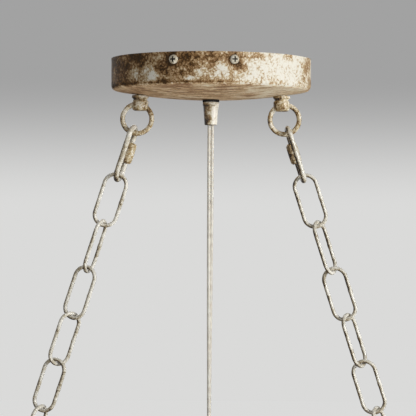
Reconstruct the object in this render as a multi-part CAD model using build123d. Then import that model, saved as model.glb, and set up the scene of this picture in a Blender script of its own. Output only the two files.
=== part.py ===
from build123d import *
from math import atan2, cos, degrees, pi, radians, sin, sqrt
import os

# An oval chandelier: a round ceiling canopy, two splayed chains, a flat cord,
# and an oval cage with lamps that hangs from them.
# The origin is the centre of the ceiling face, +Z is up and +X runs along the oval.
# All sizes are in millimetres and all angles in degrees.

# Canopy
canopy_diameter = 160.0
canopy_depth = 32.0
canopy_dome_radius = 436.0
canopy_corner_radius = 4.0
canopy_sheet = 1.2
dome_chords = 5
corner_chords = 3

# Mounting plate inside the canopy
plate_diameter = 128.0
plate_sheet = 1.6
plate_gap = 0.2
plate_wire_hole = 26.0
tab_width = 14.0
tab_drop = 11.0
ceiling_hole_circle = 88.9
ceiling_hole_diameter = 4.4

# Screws through the canopy wall
side_screw_diameter = 3.5
side_screw_length = 9.0
side_screw_head = 7.0
side_screw_head_height = 2.4
side_screw_z = -6.0
side_screw_middle = -4.1
side_screw_half_spread = 16.8
driver_slot_width = 1.1
driver_slot_depth = 1.4
ground_screw_x = 0.0
ground_screw_y = 26.0

# Hang studs
stud_x = 56.7
stud_eye_z = -36.3
stud_barrel_diameter = 13.4
stud_barrel_drop = 5.0
stud_barrel_rise = 3.3
stud_barrel_round = 3.0
stud_neck_diameter = 11.4
stud_collar_diameter = 13.8
stud_collar_height = 2.2
stud_flare_height = 1.2
round_chords = 4
stud_thread_diameter = 6.0
stud_thread_length = 14.0
stud_nut_width = 10.0
stud_nut_height = 5.0

# Rings in the studs
ring_diameter = 27.4
ring_wire = 4.0
ring_tilt = 12.0
ring_hole_clearance = 0.85

# Chain. The wire is drawn with eight flats and each bend has straight chords.
chain_angle = 17.9
chain_links = 6
link_length = 45.6
link_width = 20.8
link_wire = 3.1
link_gap = 0.3
bend_chords = 8
left_twists = [0.0, 70.0, -24.0, 38.0, -21.5, 60.0]
right_twists = [0.0, 60.0, -5.0, 55.5, -4.0, 60.0]

# Screw links at the ends of each chain
screw_link_length = 48.2
screw_link_width = 19.1
screw_link_wire = 4.3
screw_link_twists = [74.0, 95.0]
gate_gap = 6.0
gate_from_end = 15.2
sleeve_width = 6.4
sleeve_length = 17.0
sleeve_from_end = 14.4
thread_clearance = 0.05

# Cord and its grips
cord_width = 5.2
cord_thickness = 2.7
cord_top_z = -20.0
cord_hole_clearance = 0.2
grip_height = 18.3
grip_top_diameter = 13.4
grip_end_diameter = 10.2
grip_shoulder_height = 3.0
nipple_diameter = 9.6
nipple_length = 26.0
nipple_top_z = -18.0
nipple_nut_width = 14.0
nipple_nut_height = 3.0
washer_diameter = 13.4
washer_height = 2.0
lead_diameter = 2.2
wire_nut_length = 18.0
wire_nut_diameter = 11.0
wire_nut_end_diameter = 7.0

# Eye bolts on the cage
eye_wire = 4.5
eye_hole_diameter = 10.0
eye_thread_diameter = 6.0
eye_collar_diameter = 13.0
eye_collar_height = 2.0
eye_nut_width = 10.0
eye_nut_height = 5.0
eye_tail = 2.0

# Cage
cage_length = 400.0
cage_width = 240.0
cage_height = 186.0
band_height = 24.0
band_sheet = 3.0
bar_width = 22.0
bar_sheet = 4.0
bar_inset = 6.0
bar_tab_drop = 15.0
strap_count = 8
strap_width = 16.0
strap_sheet = 2.5
seat_gap = 0.05

# Stem, hub and finial
stem_diameter = 10.0
stem_bore = 7.0
stem_nut_width = 16.0
stem_nut_height = 4.0
hub_diameter = 36.0
hub_height = 24.0
hub_wall = 3.0
hub_cap_height = 3.0
finial_length = 15.0
finial_diameter = 16.0

# Lamps on their arms
lamp_end_reach = 128.0
lamp_side_x = 62.0
lamp_side_y = 58.0
arm_width = 8.0
arm_wall = 1.0
arm_overhang = 7.0
cup_flare = 5.0
cup_room = 0.5
cup_height = 9.0
cup_wall = 1.5
sleeve_tube_diameter = 24.0
sleeve_tube_wall = 1.0
sleeve_tube_height = 50.0
socket_diameter = 21.0
socket_bore = 13.4
socket_height = 30.0
socket_floor = 6.0
socket_post_diameter = 8.0
bulb_base_diameter = 13.0
bulb_base_height = 20.0
bulb_diameter = 34.0
bulb_glass_height = 70.0


# Working values
ring_middle_radius = (ring_diameter - ring_wire) / 2
wall_inner_radius = canopy_diameter / 2 - canopy_sheet
dome_centre_z = canopy_dome_radius - canopy_depth
sides = {"left": -1, "right": 1}


def dome_z(radius, depth=0.0):
    """Height of the domed bottom at a radius, depth mm inside its outer face."""
    return dome_centre_z - sqrt((canopy_dome_radius - depth) ** 2 - radius**2)


def save(node, *solids):
    """Write the solids of one named piece, or of one set of like pieces."""
    shape = solids[0] if len(solids) == 1 else Compound(children=list(solids))
    export_step(shape, f"parts/{node}.step")


def upright(radius, low, high):
    """A round bar on the Z axis between two heights."""
    return Pos(0, 0, low) * Cylinder(radius, high - low, align=(Align.CENTER, Align.CENTER, Align.MIN))


def taper(low_radius, high_radius, low, high):
    """A cone on the Z axis between two heights."""
    return Pos(0, 0, low) * Cone(
        low_radius, high_radius, high - low, align=(Align.CENTER, Align.CENTER, Align.MIN)
    )


def faceted(sides, low_radius, high_radius, low, high):
    """A many-sided tapered bar on the Z axis, for small pieces that repeat."""
    foot = Pos(0, 0, low) * RegularPolygon(low_radius, sides, major_radius=False)
    head = Pos(0, 0, high) * RegularPolygon(high_radius, sides, major_radius=False)
    return loft([foot, head], ruled=True)


def hex_nut(width, low, high, bore_diameter):
    """A hexagon nut on the Z axis, measured across its flats."""
    blank = Pos(0, 0, low) * extrude(RegularPolygon(width / 2, 6, major_radius=False), high - low)
    return blank - upright(bore_diameter / 2, low - 1, high + 1)


def wire_loop(points, diameter):
    """A closed wire with eight flats through the points, mitred at each one."""
    path = Polyline(*points, close=True)
    start = Vector(*points[0])
    section = Plane(origin=start, z_dir=Vector(*points[1]) - start) * RegularPolygon(diameter / 2, 8)
    return sweep(section, path=path.wire(), transition=Transition.RIGHT)


def oval_points(length, width, wire):
    """The middle line of an oval link in the XZ plane, started halfway along a rod."""
    bend = (width - wire) / 2
    rise = (length - width) / 2
    points = [(bend, 0, 0)]
    for end in (1, -1):
        for step in range(bend_chords + 1):
            turn = pi * step / bend_chords
            points.append((end * bend * cos(turn), 0, end * (rise + bend * sin(turn))))
    return points


def down_chain(side):
    """The direction in which a side's chain runs down."""
    return Vector(side * sin(radians(chain_angle)), 0, -cos(radians(chain_angle)))


def on_chain(side, top, length, twist):
    """Where an oval of this length sits with its outer top end at a point of the chain."""
    down = down_chain(side)
    across = Vector(cos(radians(chain_angle)), 0, side * sin(radians(chain_angle)))
    x_dir = across * cos(radians(twist)) + Vector(0, 1, 0) * sin(radians(twist))
    return Plane(origin=top + down * (length / 2), x_dir=x_dir, z_dir=-down)


def arc_points(centre_x, centre_z, radius, first, last, chords):
    """Points on an arc, with its turn measured from straight down towards +X."""
    turns = [first + (last - first) * step / chords for step in range(chords + 1)]
    return [(centre_x + radius * sin(turn), centre_z - radius * cos(turn)) for turn in turns]


def turned(points):
    """A solid turned about the Z axis from its outline, given as radius and height."""
    return revolve(Plane.XZ * make_face(Polyline(*points, close=True)), Axis.Z)


def canopy_dish(radius, depth, dome_radius, corner):
    """A solid dish with a flat top at the ceiling, a round corner and a shallow domed bottom."""
    centre_z = dome_radius - depth
    corner_x = radius - corner
    corner_z = centre_z - sqrt((dome_radius - corner) ** 2 - corner_x**2)
    lean = atan2(corner_x, centre_z - corner_z)
    dome = arc_points(0, centre_z, dome_radius, 0, lean, dome_chords)
    blend = arc_points(corner_x, corner_z, corner, lean, pi / 2, corner_chords)
    return turned([*dome, *blend[1:], (radius, 0), (0, 0)])


def wall_plane(azimuth, radius):
    """A plane on the canopy wall, facing out. Azimuth 0 is the front and turns to +X."""
    out = Vector(sin(radians(azimuth)), -cos(radians(azimuth)), 0)
    return Plane(origin=out * radius + Vector(0, 0, side_screw_z), x_dir=(0, 0, 1), z_dir=out)


front_azimuths = [side_screw_middle - side_screw_half_spread, side_screw_middle + side_screw_half_spread]
back_azimuths = [azimuth + 180 for azimuth in front_azimuths]


def canopy_shell():
    """The pressed canopy with its holes for screws, studs and cord nipple."""
    outer = canopy_dish(canopy_diameter / 2, canopy_depth, canopy_dome_radius, canopy_corner_radius)
    inner = canopy_dish(
        wall_inner_radius,
        canopy_depth - canopy_sheet,
        canopy_dome_radius - canopy_sheet,
        canopy_corner_radius - canopy_sheet,
    )
    shell = outer - inner
    for side in sides.values():
        shell -= Pos(side * stud_x, 0, 0) * upright(stud_thread_diameter / 2 + 0.2, -canopy_depth - 1, -20)
    shell -= upright(nipple_diameter / 2 + 0.2, -canopy_depth - 1, -20)
    for azimuth in front_azimuths + back_azimuths:
        hole = Cylinder(side_screw_diameter / 2 + 0.3, 12)
        shell -= wall_plane(azimuth, canopy_diameter / 2).location * hole
    return shell


def mounting_plate():
    """The steel plate on the ceiling box, with four tabs that take the side screws."""
    tab_outer = wall_inner_radius - plate_gap
    plate = upright(plate_diameter / 2, -plate_sheet, 0)
    rim = upright(tab_outer, -tab_drop, 0) - upright(tab_outer - plate_sheet, -tab_drop, 0)
    for azimuth in front_azimuths + back_azimuths:
        finger = Pos(0, -tab_outer / 2, -plate_sheet / 2) * Box(tab_width, tab_outer, plate_sheet)
        tab = Pos(0, -tab_outer, -tab_drop / 2) * Box(tab_width, 8, tab_drop)
        plate += Rot(0, 0, azimuth) * (finger & upright(tab_outer, -plate_sheet, 0))
        plate += Rot(0, 0, azimuth) * (tab & rim)
    for azimuth in front_azimuths + back_azimuths:
        hole = Cylinder(side_screw_diameter / 2 + thread_clearance, 12)
        plate -= wall_plane(azimuth, tab_outer).location * hole
    plate -= upright(plate_wire_hole / 2, -plate_sheet, 0)
    for side in sides.values():
        hole = upright(ceiling_hole_diameter / 2, -plate_sheet, 0)
        plate -= Pos(0, side * ceiling_hole_circle / 2, 0) * hole
    hole = upright(side_screw_diameter / 2 + thread_clearance, -plate_sheet, 0)
    plate -= Pos(ground_screw_x, ground_screw_y, 0) * hole
    return plate


def pan_screw(length):
    """A pan head cross-slot screw. Its head stands on the XY plane and its shank runs down."""
    head = extrude(Circle(side_screw_head / 2), side_screw_head_height)
    head = chamfer(head.faces().sort_by(Axis.Z)[-1].edges(), side_screw_head_height * 0.4)
    slot = Box(side_screw_head * 0.6, driver_slot_width, 2 * driver_slot_depth)
    head -= Pos(0, 0, side_screw_head_height) * (slot + Rot(0, 0, 90) * slot)
    return head + upright(side_screw_diameter / 2, -length, 0)


def side_screws(azimuths):
    """The two screws at one side of the canopy."""
    seat = canopy_diameter / 2 + seat_gap
    return [wall_plane(azimuth, seat).location * pan_screw(side_screw_length) for azimuth in azimuths]


def ring_centre(side):
    """The middle of a ring that hangs in its stud."""
    lean = Vector(side * sin(radians(ring_tilt)), 0, -cos(radians(ring_tilt)))
    return Vector(side * stud_x, 0, stud_eye_z) + lean * ring_middle_radius


def ring_points():
    """The middle line of a ring in the XZ plane."""
    steps = 3 * bend_chords
    turns = [2 * pi * step / steps for step in range(steps)]
    return [(ring_middle_radius * cos(turn), 0, ring_middle_radius * sin(turn)) for turn in turns]


def hang_stud(side):
    """A turned stud with a barrel end, a curved ring hole and a thread up through the canopy."""
    barrel_low = stud_eye_z - stud_barrel_drop
    barrel_high = stud_eye_z + stud_barrel_rise
    barrel = stud_barrel_diameter / 2
    neck = stud_neck_diameter / 2
    round_x = barrel - stud_barrel_round
    neck_high = dome_z(stud_x) - stud_collar_height
    collar = upright(stud_collar_diameter / 2, neck_high, neck_high + stud_collar_height + 2)
    collar = Pos(side * stud_x, 0, 0) * collar
    body = turned([
        (0, barrel_low),
        *arc_points(round_x, barrel_low + stud_barrel_round, stud_barrel_round, 0, pi / 2, round_chords),
        (barrel, barrel_high - (barrel - neck)),
        (neck, barrel_high),
        (neck, neck_high - stud_flare_height),
        (stud_collar_diameter / 2, neck_high),
        (0, neck_high),
    ])
    body += upright(stud_thread_diameter / 2, neck_high, dome_z(stud_x) + stud_thread_length)
    dome = canopy_dish(canopy_diameter / 2, canopy_depth + seat_gap, canopy_dome_radius, canopy_corner_radius)
    stud = Pos(side * stud_x, 0, 0) * body + (collar - dome)
    bore = ring_wire + 2 * ring_hole_clearance
    drilled = Rot(0, 90, 0) * Cylinder(bore * 0.42, stud_barrel_diameter + 4)
    stud -= Pos(side * stud_x, 0, stud_eye_z) * drilled
    return stud - Pos(*ring_centre(side)) * wire_loop(ring_points(), bore)


def stud_nut(side):
    """The nut that clamps a stud inside the canopy."""
    low = dome_z(stud_x + stud_nut_width / 2, canopy_sheet) + 0.3
    nut = hex_nut(stud_nut_width, low, low + stud_nut_height, stud_thread_diameter + 2 * thread_clearance)
    return Pos(side * stud_x, 0, 0) * nut


def hang_ring(side):
    """The round ring that hangs in a stud."""
    return Pos(*ring_centre(side)) * wire_loop(ring_points(), ring_wire)


def screw_link(side, top, twist):
    """An oval link with an open gate in one rod."""
    link = wire_loop(oval_points(screw_link_length, screw_link_width, screw_link_wire), screw_link_wire)
    rod = (screw_link_width - screw_link_wire) / 2
    gate_z = screw_link_length / 2 - gate_from_end - gate_gap / 2
    link -= Pos(rod, 0, gate_z) * Box(screw_link_wire + 2, screw_link_wire + 2, gate_gap)
    return on_chain(side, top, screw_link_length, twist).location * link


def gate_sleeve(side, top, twist):
    """The long hexagon nut that screws along the rod and closes the gate."""
    rod = (screw_link_width - screw_link_wire) / 2
    high = screw_link_length / 2 - sleeve_from_end
    bore = screw_link_wire + 2 * thread_clearance
    sleeve = hex_nut(sleeve_width, high - sleeve_length, high, bore)
    return on_chain(side, top, screw_link_length, twist).location * (Pos(rod, 0, 0) * sleeve)


def chain_link(side, top, twist):
    """One welded oval link."""
    link = wire_loop(oval_points(link_length, link_width, link_wire), link_wire)
    return on_chain(side, top, link_length, twist).location * link


# Places along each chain, measured down it from the ring's middle
upper_top = ring_middle_radius - ring_wire / 2 - link_gap - screw_link_wire
first_top = upper_top + screw_link_length - screw_link_wire - link_gap - link_wire
link_pitch = link_length - 2 * link_wire - link_gap
lower_top = first_top + (chain_links - 1) * link_pitch + link_length - link_wire - link_gap - screw_link_wire
eye_top = lower_top + screw_link_length - screw_link_wire - link_gap - eye_wire / 2


def chain_point(side, distance):
    """A point down the chain from the ring's middle."""
    return ring_centre(side) + down_chain(side) * distance


# Places on the cage
eye_middle_radius = (eye_hole_diameter + eye_wire) / 2
eye_x = chain_point(1, eye_top).X
eye_z = chain_point(1, eye_top).Z - eye_middle_radius
bar_top_z = eye_z - eye_middle_radius - eye_wire / 2 - eye_collar_height
band_top_z = bar_top_z + bar_inset
cage_low_z = band_top_z - cage_height
arm_z = cage_low_z + band_height + arm_width / 2
lamp_places = [(side * lamp_end_reach, 0.0) for side in sides.values()]
for x_side in sides.values():
    lamp_places += [(x_side * lamp_side_x, y_side * lamp_side_y) for y_side in sides.values()]


def eye_bolt(side):
    """An eye whose hole faces along X, with a collar and a thread down through the bar."""
    steps = 2 * bend_chords
    points = []
    for step in range(steps):
        turn = 2 * pi * step / steps
        points.append((0, eye_middle_radius * cos(turn), eye_middle_radius * sin(turn)))
    collar_low = bar_top_z - eye_z
    thread_low = collar_low - bar_sheet - eye_nut_height - eye_tail
    bolt = wire_loop(points, eye_wire)
    bolt += taper(
        eye_collar_diameter / 2,
        eye_thread_diameter / 2,
        collar_low,
        collar_low + eye_collar_height + 1,
    )
    bolt += upright(eye_thread_diameter / 2, thread_low, collar_low)
    return Pos(side * eye_x, 0, eye_z) * bolt


def eye_nut(side):
    """The nut under the bar that holds an eye bolt."""
    high = bar_top_z - bar_sheet - seat_gap
    nut = hex_nut(eye_nut_width, high - eye_nut_height, high, eye_thread_diameter + 2 * thread_clearance)
    return Pos(side * eye_x, 0, 0) * nut


def oval_prism(inset, low, high):
    """An upright prism with the oval outline of the cage, drawn in by an inset."""
    outline = Ellipse(cage_length / 2 - inset, cage_width / 2 - inset)
    return Pos(0, 0, low) * extrude(outline, high - low)


def band(high):
    """One oval band of the cage."""
    low = high - band_height
    return oval_prism(0, low, high) - oval_prism(band_sheet, low, high)


def cage_bar():
    """The flat bar across the top band, with a tab turned down at each end."""
    seat = band_sheet + seat_gap
    low = bar_top_z - bar_tab_drop
    blank = Pos(0, 0, low) * Box(
        cage_length, bar_width, bar_tab_drop, align=(Align.CENTER, Align.CENTER, Align.MIN)
    )
    bar = blank & oval_prism(seat, bar_top_z - bar_sheet, bar_top_z)
    tabs = oval_prism(seat, low, bar_top_z) - oval_prism(seat + bar_sheet, low, bar_top_z)
    bar += blank & tabs
    bar -= upright(stem_diameter / 2 + thread_clearance, low, bar_top_z)
    for side in sides.values():
        bar -= Pos(side * eye_x, 0, 0) * upright(eye_thread_diameter / 2 + thread_clearance, low, bar_top_z)
    return bar


def cage_strap(index):
    """One upright strap inside the bands, held to both."""
    turn = 2 * pi * (index + 0.5) / strap_count
    place = Pos(cage_length / 2 * cos(turn), cage_width / 2 * sin(turn), 0)
    facing = degrees(atan2(cage_length * sin(turn), cage_width * cos(turn)))
    low = cage_low_z + 3
    high = band_top_z - 3
    seat = band_sheet + seat_gap
    ring = oval_prism(seat, low, high) - oval_prism(seat + strap_sheet, low, high)
    return ring & (place * Rot(0, 0, facing) * Pos(0, 0, (low + high) / 2) * Box(40, strap_width, high - low))


def nipple():
    """The hollow threaded tube that holds the grip, its washer and its nut to the canopy."""
    low = nipple_top_z - nipple_length
    return upright(nipple_diameter / 2, low, nipple_top_z) - upright(cord_width / 2 + 0.6, low, nipple_top_z)


washer_top_z = -canopy_depth - seat_gap
grip_top_z = washer_top_z - washer_height - seat_gap


def nipple_nut():
    """The nut inside the canopy that clamps the nipple."""
    low = dome_z(nipple_nut_width / 2, canopy_sheet) + 4 * seat_gap
    return hex_nut(nipple_nut_width, low, low + nipple_nut_height, nipple_diameter + 2 * thread_clearance)


def grip_washer():
    """The black washer between the canopy and the grip."""
    low = washer_top_z - washer_height
    hole = upright(nipple_diameter / 2 + 2 * thread_clearance, low, washer_top_z)
    return upright(washer_diameter / 2, low, washer_top_z) - hole


def cord_grip():
    """The tapered grip under the canopy, bored for the nipple and for the cord."""
    low = grip_top_z - grip_height
    shoulder = grip_top_z - grip_shoulder_height
    grip = upright(grip_top_diameter / 2, shoulder, grip_top_z)
    grip += taper(grip_end_diameter / 2, grip_top_diameter / 2 - 0.5, low, shoulder)
    grip -= upright(cord_width / 2 + cord_hole_clearance, low, grip_top_z)
    nipple_low = nipple_top_z - nipple_length - thread_clearance
    return grip - upright(nipple_diameter / 2 + thread_clearance, nipple_low, grip_top_z)


grip_low_z = grip_top_z - grip_height
stem_nut_low_z = bar_top_z + seat_gap
stem_top_z = stem_nut_low_z + stem_nut_height + 9
lower_grip_low_z = stem_nut_low_z + stem_nut_height + seat_gap
hub_top_z = arm_z + hub_height / 2
hub_low_z = arm_z - hub_height / 2


def lower_grip():
    """The same tapered grip turned over, screwed on the top of the stem."""
    high = lower_grip_low_z + grip_height
    shoulder = lower_grip_low_z + grip_shoulder_height
    grip = upright(grip_top_diameter / 2, lower_grip_low_z, shoulder)
    grip += taper(grip_top_diameter / 2 - 0.5, grip_end_diameter / 2, shoulder, high)
    grip -= upright(cord_width / 2 + cord_hole_clearance, lower_grip_low_z, high)
    return grip - upright(stem_diameter / 2 + thread_clearance, lower_grip_low_z, stem_top_z + 0.3)


def power_cord():
    """The flat twin cord, pulled straight between the two grips."""
    section = SlotOverall(cord_width, cord_thickness)
    low = lower_grip_low_z + grip_height - 6
    return Pos(0, 0, low) * extrude(section, cord_top_z - low)


def lead_wire(side):
    """One of the cord's two leads, from its split end to a wire nut."""
    points = [
        (side * cord_width / 4, 0, cord_top_z + seat_gap),
        (side * cord_width / 4, 0, cord_top_z + 6),
        (side * 12, 8, cord_top_z + 9),
        (side * 18, 12, cord_top_z + 9),
    ]
    start = Vector(*points[0])
    section = Plane(origin=start, z_dir=(0, 0, 1)) * RegularPolygon(lead_diameter / 2, 8)
    return sweep(section, path=Polyline(*points).wire(), transition=Transition.RIGHT)


def wire_nut(side):
    """A tapered plastic wire nut at the end of a lead."""
    along = Vector(side * 3, 2, 0).normalized()
    start = Vector(side * 18, 12, cord_top_z + 9) + along * seat_gap
    body = faceted(12, wire_nut_diameter / 2, wire_nut_end_diameter / 2, 0, wire_nut_length)
    return Plane(origin=start, z_dir=along).location * body


def stem():
    """The hollow stem from the lower grip down to the hub."""
    low = hub_top_z - hub_wall
    return upright(stem_diameter / 2, low, stem_top_z) - upright(stem_bore / 2, low, stem_top_z)


def stem_nuts():
    """The two nuts that clamp the stem to the bar."""
    bore = stem_diameter + 2 * thread_clearance
    under = bar_top_z - bar_sheet - seat_gap
    return [
        hex_nut(stem_nut_width, stem_nut_low_z, stem_nut_low_z + stem_nut_height, bore),
        hex_nut(stem_nut_width, under - stem_nut_height, under, bore),
    ]


def hub():
    """The open-bottomed wiring hub that carries the six arms."""
    body = upright(hub_diameter / 2, hub_low_z, hub_top_z)
    body = chamfer(body.faces().sort_by(Axis.Z)[-1].edges(), 4)
    body -= upright(hub_diameter / 2 - hub_wall, hub_low_z, hub_top_z - hub_wall - 2)
    body -= upright(stem_diameter / 2 + thread_clearance, hub_low_z, hub_top_z)
    for x, y in lamp_places:
        angle = degrees(atan2(y, x))
        bore = arm_width - 2 * arm_wall
        window = Pos(hub_diameter / 2, 0, arm_z) * Box(hub_diameter, bore, bore)
        body -= Rot(0, 0, angle) * window
    return body


def hub_cap():
    """The cover under the hub."""
    high = hub_low_z - seat_gap
    return upright(hub_diameter / 2, high - hub_cap_height, high)


def finial():
    """The turned finial under the hub cover."""
    high = hub_low_z - 2 * seat_gap - hub_cap_height
    widest = high - finial_length * 0.45
    body = taper(finial_diameter / 2, finial_diameter / 4, widest, high)
    body += taper(1.5, finial_diameter / 2, high - finial_length, widest)
    return body


def arm(x, y):
    """A square tube from the hub to just past its lamp."""
    reach = sqrt(x**2 + y**2) + arm_overhang
    outer = Box(reach, arm_width, arm_width, align=(Align.MIN, Align.CENTER, Align.CENTER))
    bore = arm_width - 2 * arm_wall
    inner = Box(reach - arm_wall, bore, bore, align=(Align.MIN, Align.CENTER, Align.CENTER))
    tube = Pos(0, 0, arm_z) * (outer - inner) - upright(hub_diameter / 2 + seat_gap, hub_low_z, hub_top_z)
    return Rot(0, 0, degrees(atan2(y, x))) * tube


cup_low_z = arm_z + arm_width / 2 + seat_gap
cup_floor_z = cup_low_z + cup_wall


def cup(x, y):
    """A flared drip cup on an arm."""
    well = sleeve_tube_diameter / 2 + cup_room
    foot = well + cup_wall
    outer = faceted(16, foot, foot + cup_flare, cup_low_z, cup_low_z + cup_height)
    inner = faceted(16, well, well + cup_flare, cup_floor_z, cup_low_z + cup_height)
    post = socket_post_diameter / 2 + thread_clearance
    post_hole = faceted(12, post, post, cup_low_z, cup_floor_z)
    return Pos(x, y, 0) * (outer - inner - post_hole)


def candle_sleeve(x, y):
    """The tube that hides a lamp socket."""
    low = cup_floor_z + seat_gap
    high = low + sleeve_tube_height
    radius = sleeve_tube_diameter / 2
    bore = radius - sleeve_tube_wall
    return Pos(x, y, 0) * (faceted(16, radius, radius, low, high) - faceted(16, bore, bore, low, high))


socket_high_z = cup_floor_z + seat_gap + sleeve_tube_height - 1


def lamp_socket(x, y):
    """A socket on its post, open at the top for the bulb."""
    low = socket_high_z - socket_height
    body = faceted(12, socket_diameter / 2, socket_diameter / 2, low, socket_high_z)
    body += faceted(12, socket_post_diameter / 2, socket_post_diameter / 2, cup_low_z, low)
    bore = faceted(12, socket_bore / 2, socket_bore / 2, low + socket_floor, socket_high_z)
    return Pos(x, y, 0) * (body - bore)


def candle_bulb(x, y):
    """A candle bulb: a round base and a glass that swells and comes to a point."""
    low = socket_high_z + seat_gap
    base = bulb_base_diameter / 2
    radius = bulb_diameter / 2
    outline = [(0.0, base), (0.14, 0.78 * radius), (0.33, radius), (0.55, 0.8 * radius)]
    outline += [(0.8, 0.3 * radius), (1.0, 0.06 * radius)]
    bulb = faceted(12, base, base, low - bulb_base_height, low)
    for (share, lower), (next_share, upper) in zip(outline, outline[1:]):
        part_low = low + share * bulb_glass_height
        bulb += faceted(12, lower, upper, part_low, low + next_share * bulb_glass_height)
    return Pos(x, y, 0) * bulb


os.makedirs("parts", exist_ok=True)

# What is fixed to the ceiling
save("canopy_shell", canopy_shell())
save("mounting_plate", mounting_plate())
save("front_side_screws", *side_screws(front_azimuths))
save("back_side_screws", *side_screws(back_azimuths))
save("ground_screw", Pos(ground_screw_x, ground_screw_y, -plate_sheet - seat_gap) * Rot(180, 0, 0) * pan_screw(1.6))
save("hang_stud_left", hang_stud(-1))
save("hang_stud_right", hang_stud(1))
save("stud_nuts", stud_nut(-1), stud_nut(1))
save("cord_nipple", nipple())
save("nipple_nut", nipple_nut())
save("grip_washer", grip_washer())
save("upper_cord_grip", cord_grip())
save("power_cord", power_cord())
save("lead_wires", lead_wire(-1), lead_wire(1))
save("wire_nuts", wire_nut(-1), wire_nut(1))

# The chains
for name, side in sides.items():
    twists = left_twists if side < 0 else right_twists
    twist = screw_link_twists[0 if side < 0 else 1]
    upper = chain_point(side, upper_top)
    lower = chain_point(side, lower_top)
    save(f"hang_ring_{name}", hang_ring(side))
    save(f"screw_link_upper_{name}", screw_link(side, upper, twist))
    save(f"gate_sleeve_upper_{name}", gate_sleeve(side, upper, twist))
    for index in range(chain_links):
        top = chain_point(side, first_top + index * link_pitch)
        save(f"chain_link_{name}_{index + 1}", chain_link(side, top, twists[index]))
    save(f"screw_link_lower_{name}", screw_link(side, lower, 0))
    save(f"gate_sleeve_lower_{name}", gate_sleeve(side, lower, 0))
    save(f"eye_bolt_{name}", eye_bolt(side))

# The cage and its lamps
save("eye_nuts", eye_nut(-1), eye_nut(1))
save("cage_bar", cage_bar())
save("top_band", band(band_top_z))
save("bottom_band", band(cage_low_z + band_height))
save("cage_straps", *[cage_strap(index) for index in range(strap_count)])
save("center_stem", stem())
save("stem_nuts", *stem_nuts())
save("lower_cord_grip", lower_grip())
save("wiring_hub", hub())
save("hub_cap", hub_cap())
save("finial", finial())
save("lamp_arms", *[arm(x, y) for x, y in lamp_places])
save("drip_cups", *[cup(x, y) for x, y in lamp_places])
save("candle_sleeves", *[candle_sleeve(x, y) for x, y in lamp_places])
save("lamp_sockets", *[lamp_socket(x, y) for x, y in lamp_places])
save("candle_bulbs", *[candle_bulb(x, y) for x, y in lamp_places])

print("eye bolt at", round(eye_x, 1), round(eye_z, 1))
print("cage from", round(cage_low_z, 1), "to", round(band_top_z, 1))
print("stud eye", stud_x, stud_eye_z, "chain", round(down_chain(1).X, 5), round(down_chain(1).Z, 5))
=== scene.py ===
"""Looks of an oval chandelier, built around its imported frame.

A round, hand-distressed ceiling canopy carries two splayed chains and a flat twin cord, which hold an
oval cage with six candle lamps. Everything is in metres, in the frame's own places: +Z is up, +X runs
along the oval and the origin is the middle of the ceiling face.
"""

import logging
import math
from collections.abc import Sequence
from dataclasses import dataclass, field
from enum import Enum

import bmesh
import bpy
from bpy.types import ID, Material, Mesh, Node, NodeSocket, NodeTree, Object
from mathutils import Matrix, Vector, noise


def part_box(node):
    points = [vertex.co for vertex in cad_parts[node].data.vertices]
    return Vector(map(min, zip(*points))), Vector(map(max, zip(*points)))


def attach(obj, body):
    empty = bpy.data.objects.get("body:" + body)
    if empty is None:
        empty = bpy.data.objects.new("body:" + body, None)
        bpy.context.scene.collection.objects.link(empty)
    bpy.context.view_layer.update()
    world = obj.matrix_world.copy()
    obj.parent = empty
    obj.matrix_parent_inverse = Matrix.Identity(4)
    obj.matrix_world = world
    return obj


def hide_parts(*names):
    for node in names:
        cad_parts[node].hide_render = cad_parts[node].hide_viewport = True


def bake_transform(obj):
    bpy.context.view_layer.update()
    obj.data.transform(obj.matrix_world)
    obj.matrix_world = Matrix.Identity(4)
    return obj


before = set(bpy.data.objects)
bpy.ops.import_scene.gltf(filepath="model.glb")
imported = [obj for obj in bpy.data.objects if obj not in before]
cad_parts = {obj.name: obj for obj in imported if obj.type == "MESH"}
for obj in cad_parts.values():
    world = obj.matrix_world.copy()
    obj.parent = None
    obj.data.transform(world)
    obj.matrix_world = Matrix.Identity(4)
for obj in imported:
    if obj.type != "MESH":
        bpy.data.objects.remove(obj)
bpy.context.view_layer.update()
LOG = logging.getLogger("chandelier")
MM = 0.001
UP = Vector((0, 0, 1))
IMAGE_SIDE = 416
SOFT_LIGHT = "#f2f3f5"

Outline = Sequence[tuple[float, float]]


class Side(Enum):
    """The two sides of the fixture, with their sign along X."""

    LEFT = -1
    RIGHT = 1

    @property
    def word(self) -> str:
        """The side's name as the nodes have it."""
        return self.name.lower()


class Level(Enum):
    """The two ends of a chain that have a screw link."""

    UPPER = "upper"
    LOWER = "lower"


def span(start: float, end: float, steps: int) -> list[float]:
    """Evenly spaced values from start to end, both included."""
    return [start + (end - start) * step / steps for step in range(steps + 1)]


def turns(count: int) -> list[float]:
    """Angles spaced evenly round a full turn."""
    return [2 * math.pi * step / count for step in range(count)]


# ---------------------------------------------------------------- nodes and colours


def linear(code: str) -> tuple[float, float, float, float]:
    """Turn an sRGB hex colour into the linear colour that the shaders use.

    Args:
        code: Six hex digits after a hash sign.

    Returns:
        Red, green, blue and alpha.
    """
    parts = [int(code[place : place + 2], 16) / 255 for place in (1, 3, 5)]
    low = [part / 12.92 if part <= 0.04045 else ((part + 0.055) / 1.055) ** 2.4 for part in parts]
    return (*low, 1.0)


def per_mm(size: float) -> float:
    """The texture scale at which a pattern repeats about every size millimetres."""
    return 1 / (size * MM)


def connect(node: Node, links: dict) -> None:
    """Link or fill a node's inputs.

    Args:
        node: The node.
        links: Input name or number, with the socket to link from or the value to hold. A node stands for
            its first output.
    """
    for name, value in links.items():
        source = value.outputs[0] if isinstance(value, Node) else value
        if isinstance(source, NodeSocket):
            node.id_data.links.new(source, node.inputs[name])
        else:
            node.inputs[name].default_value = source


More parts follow.
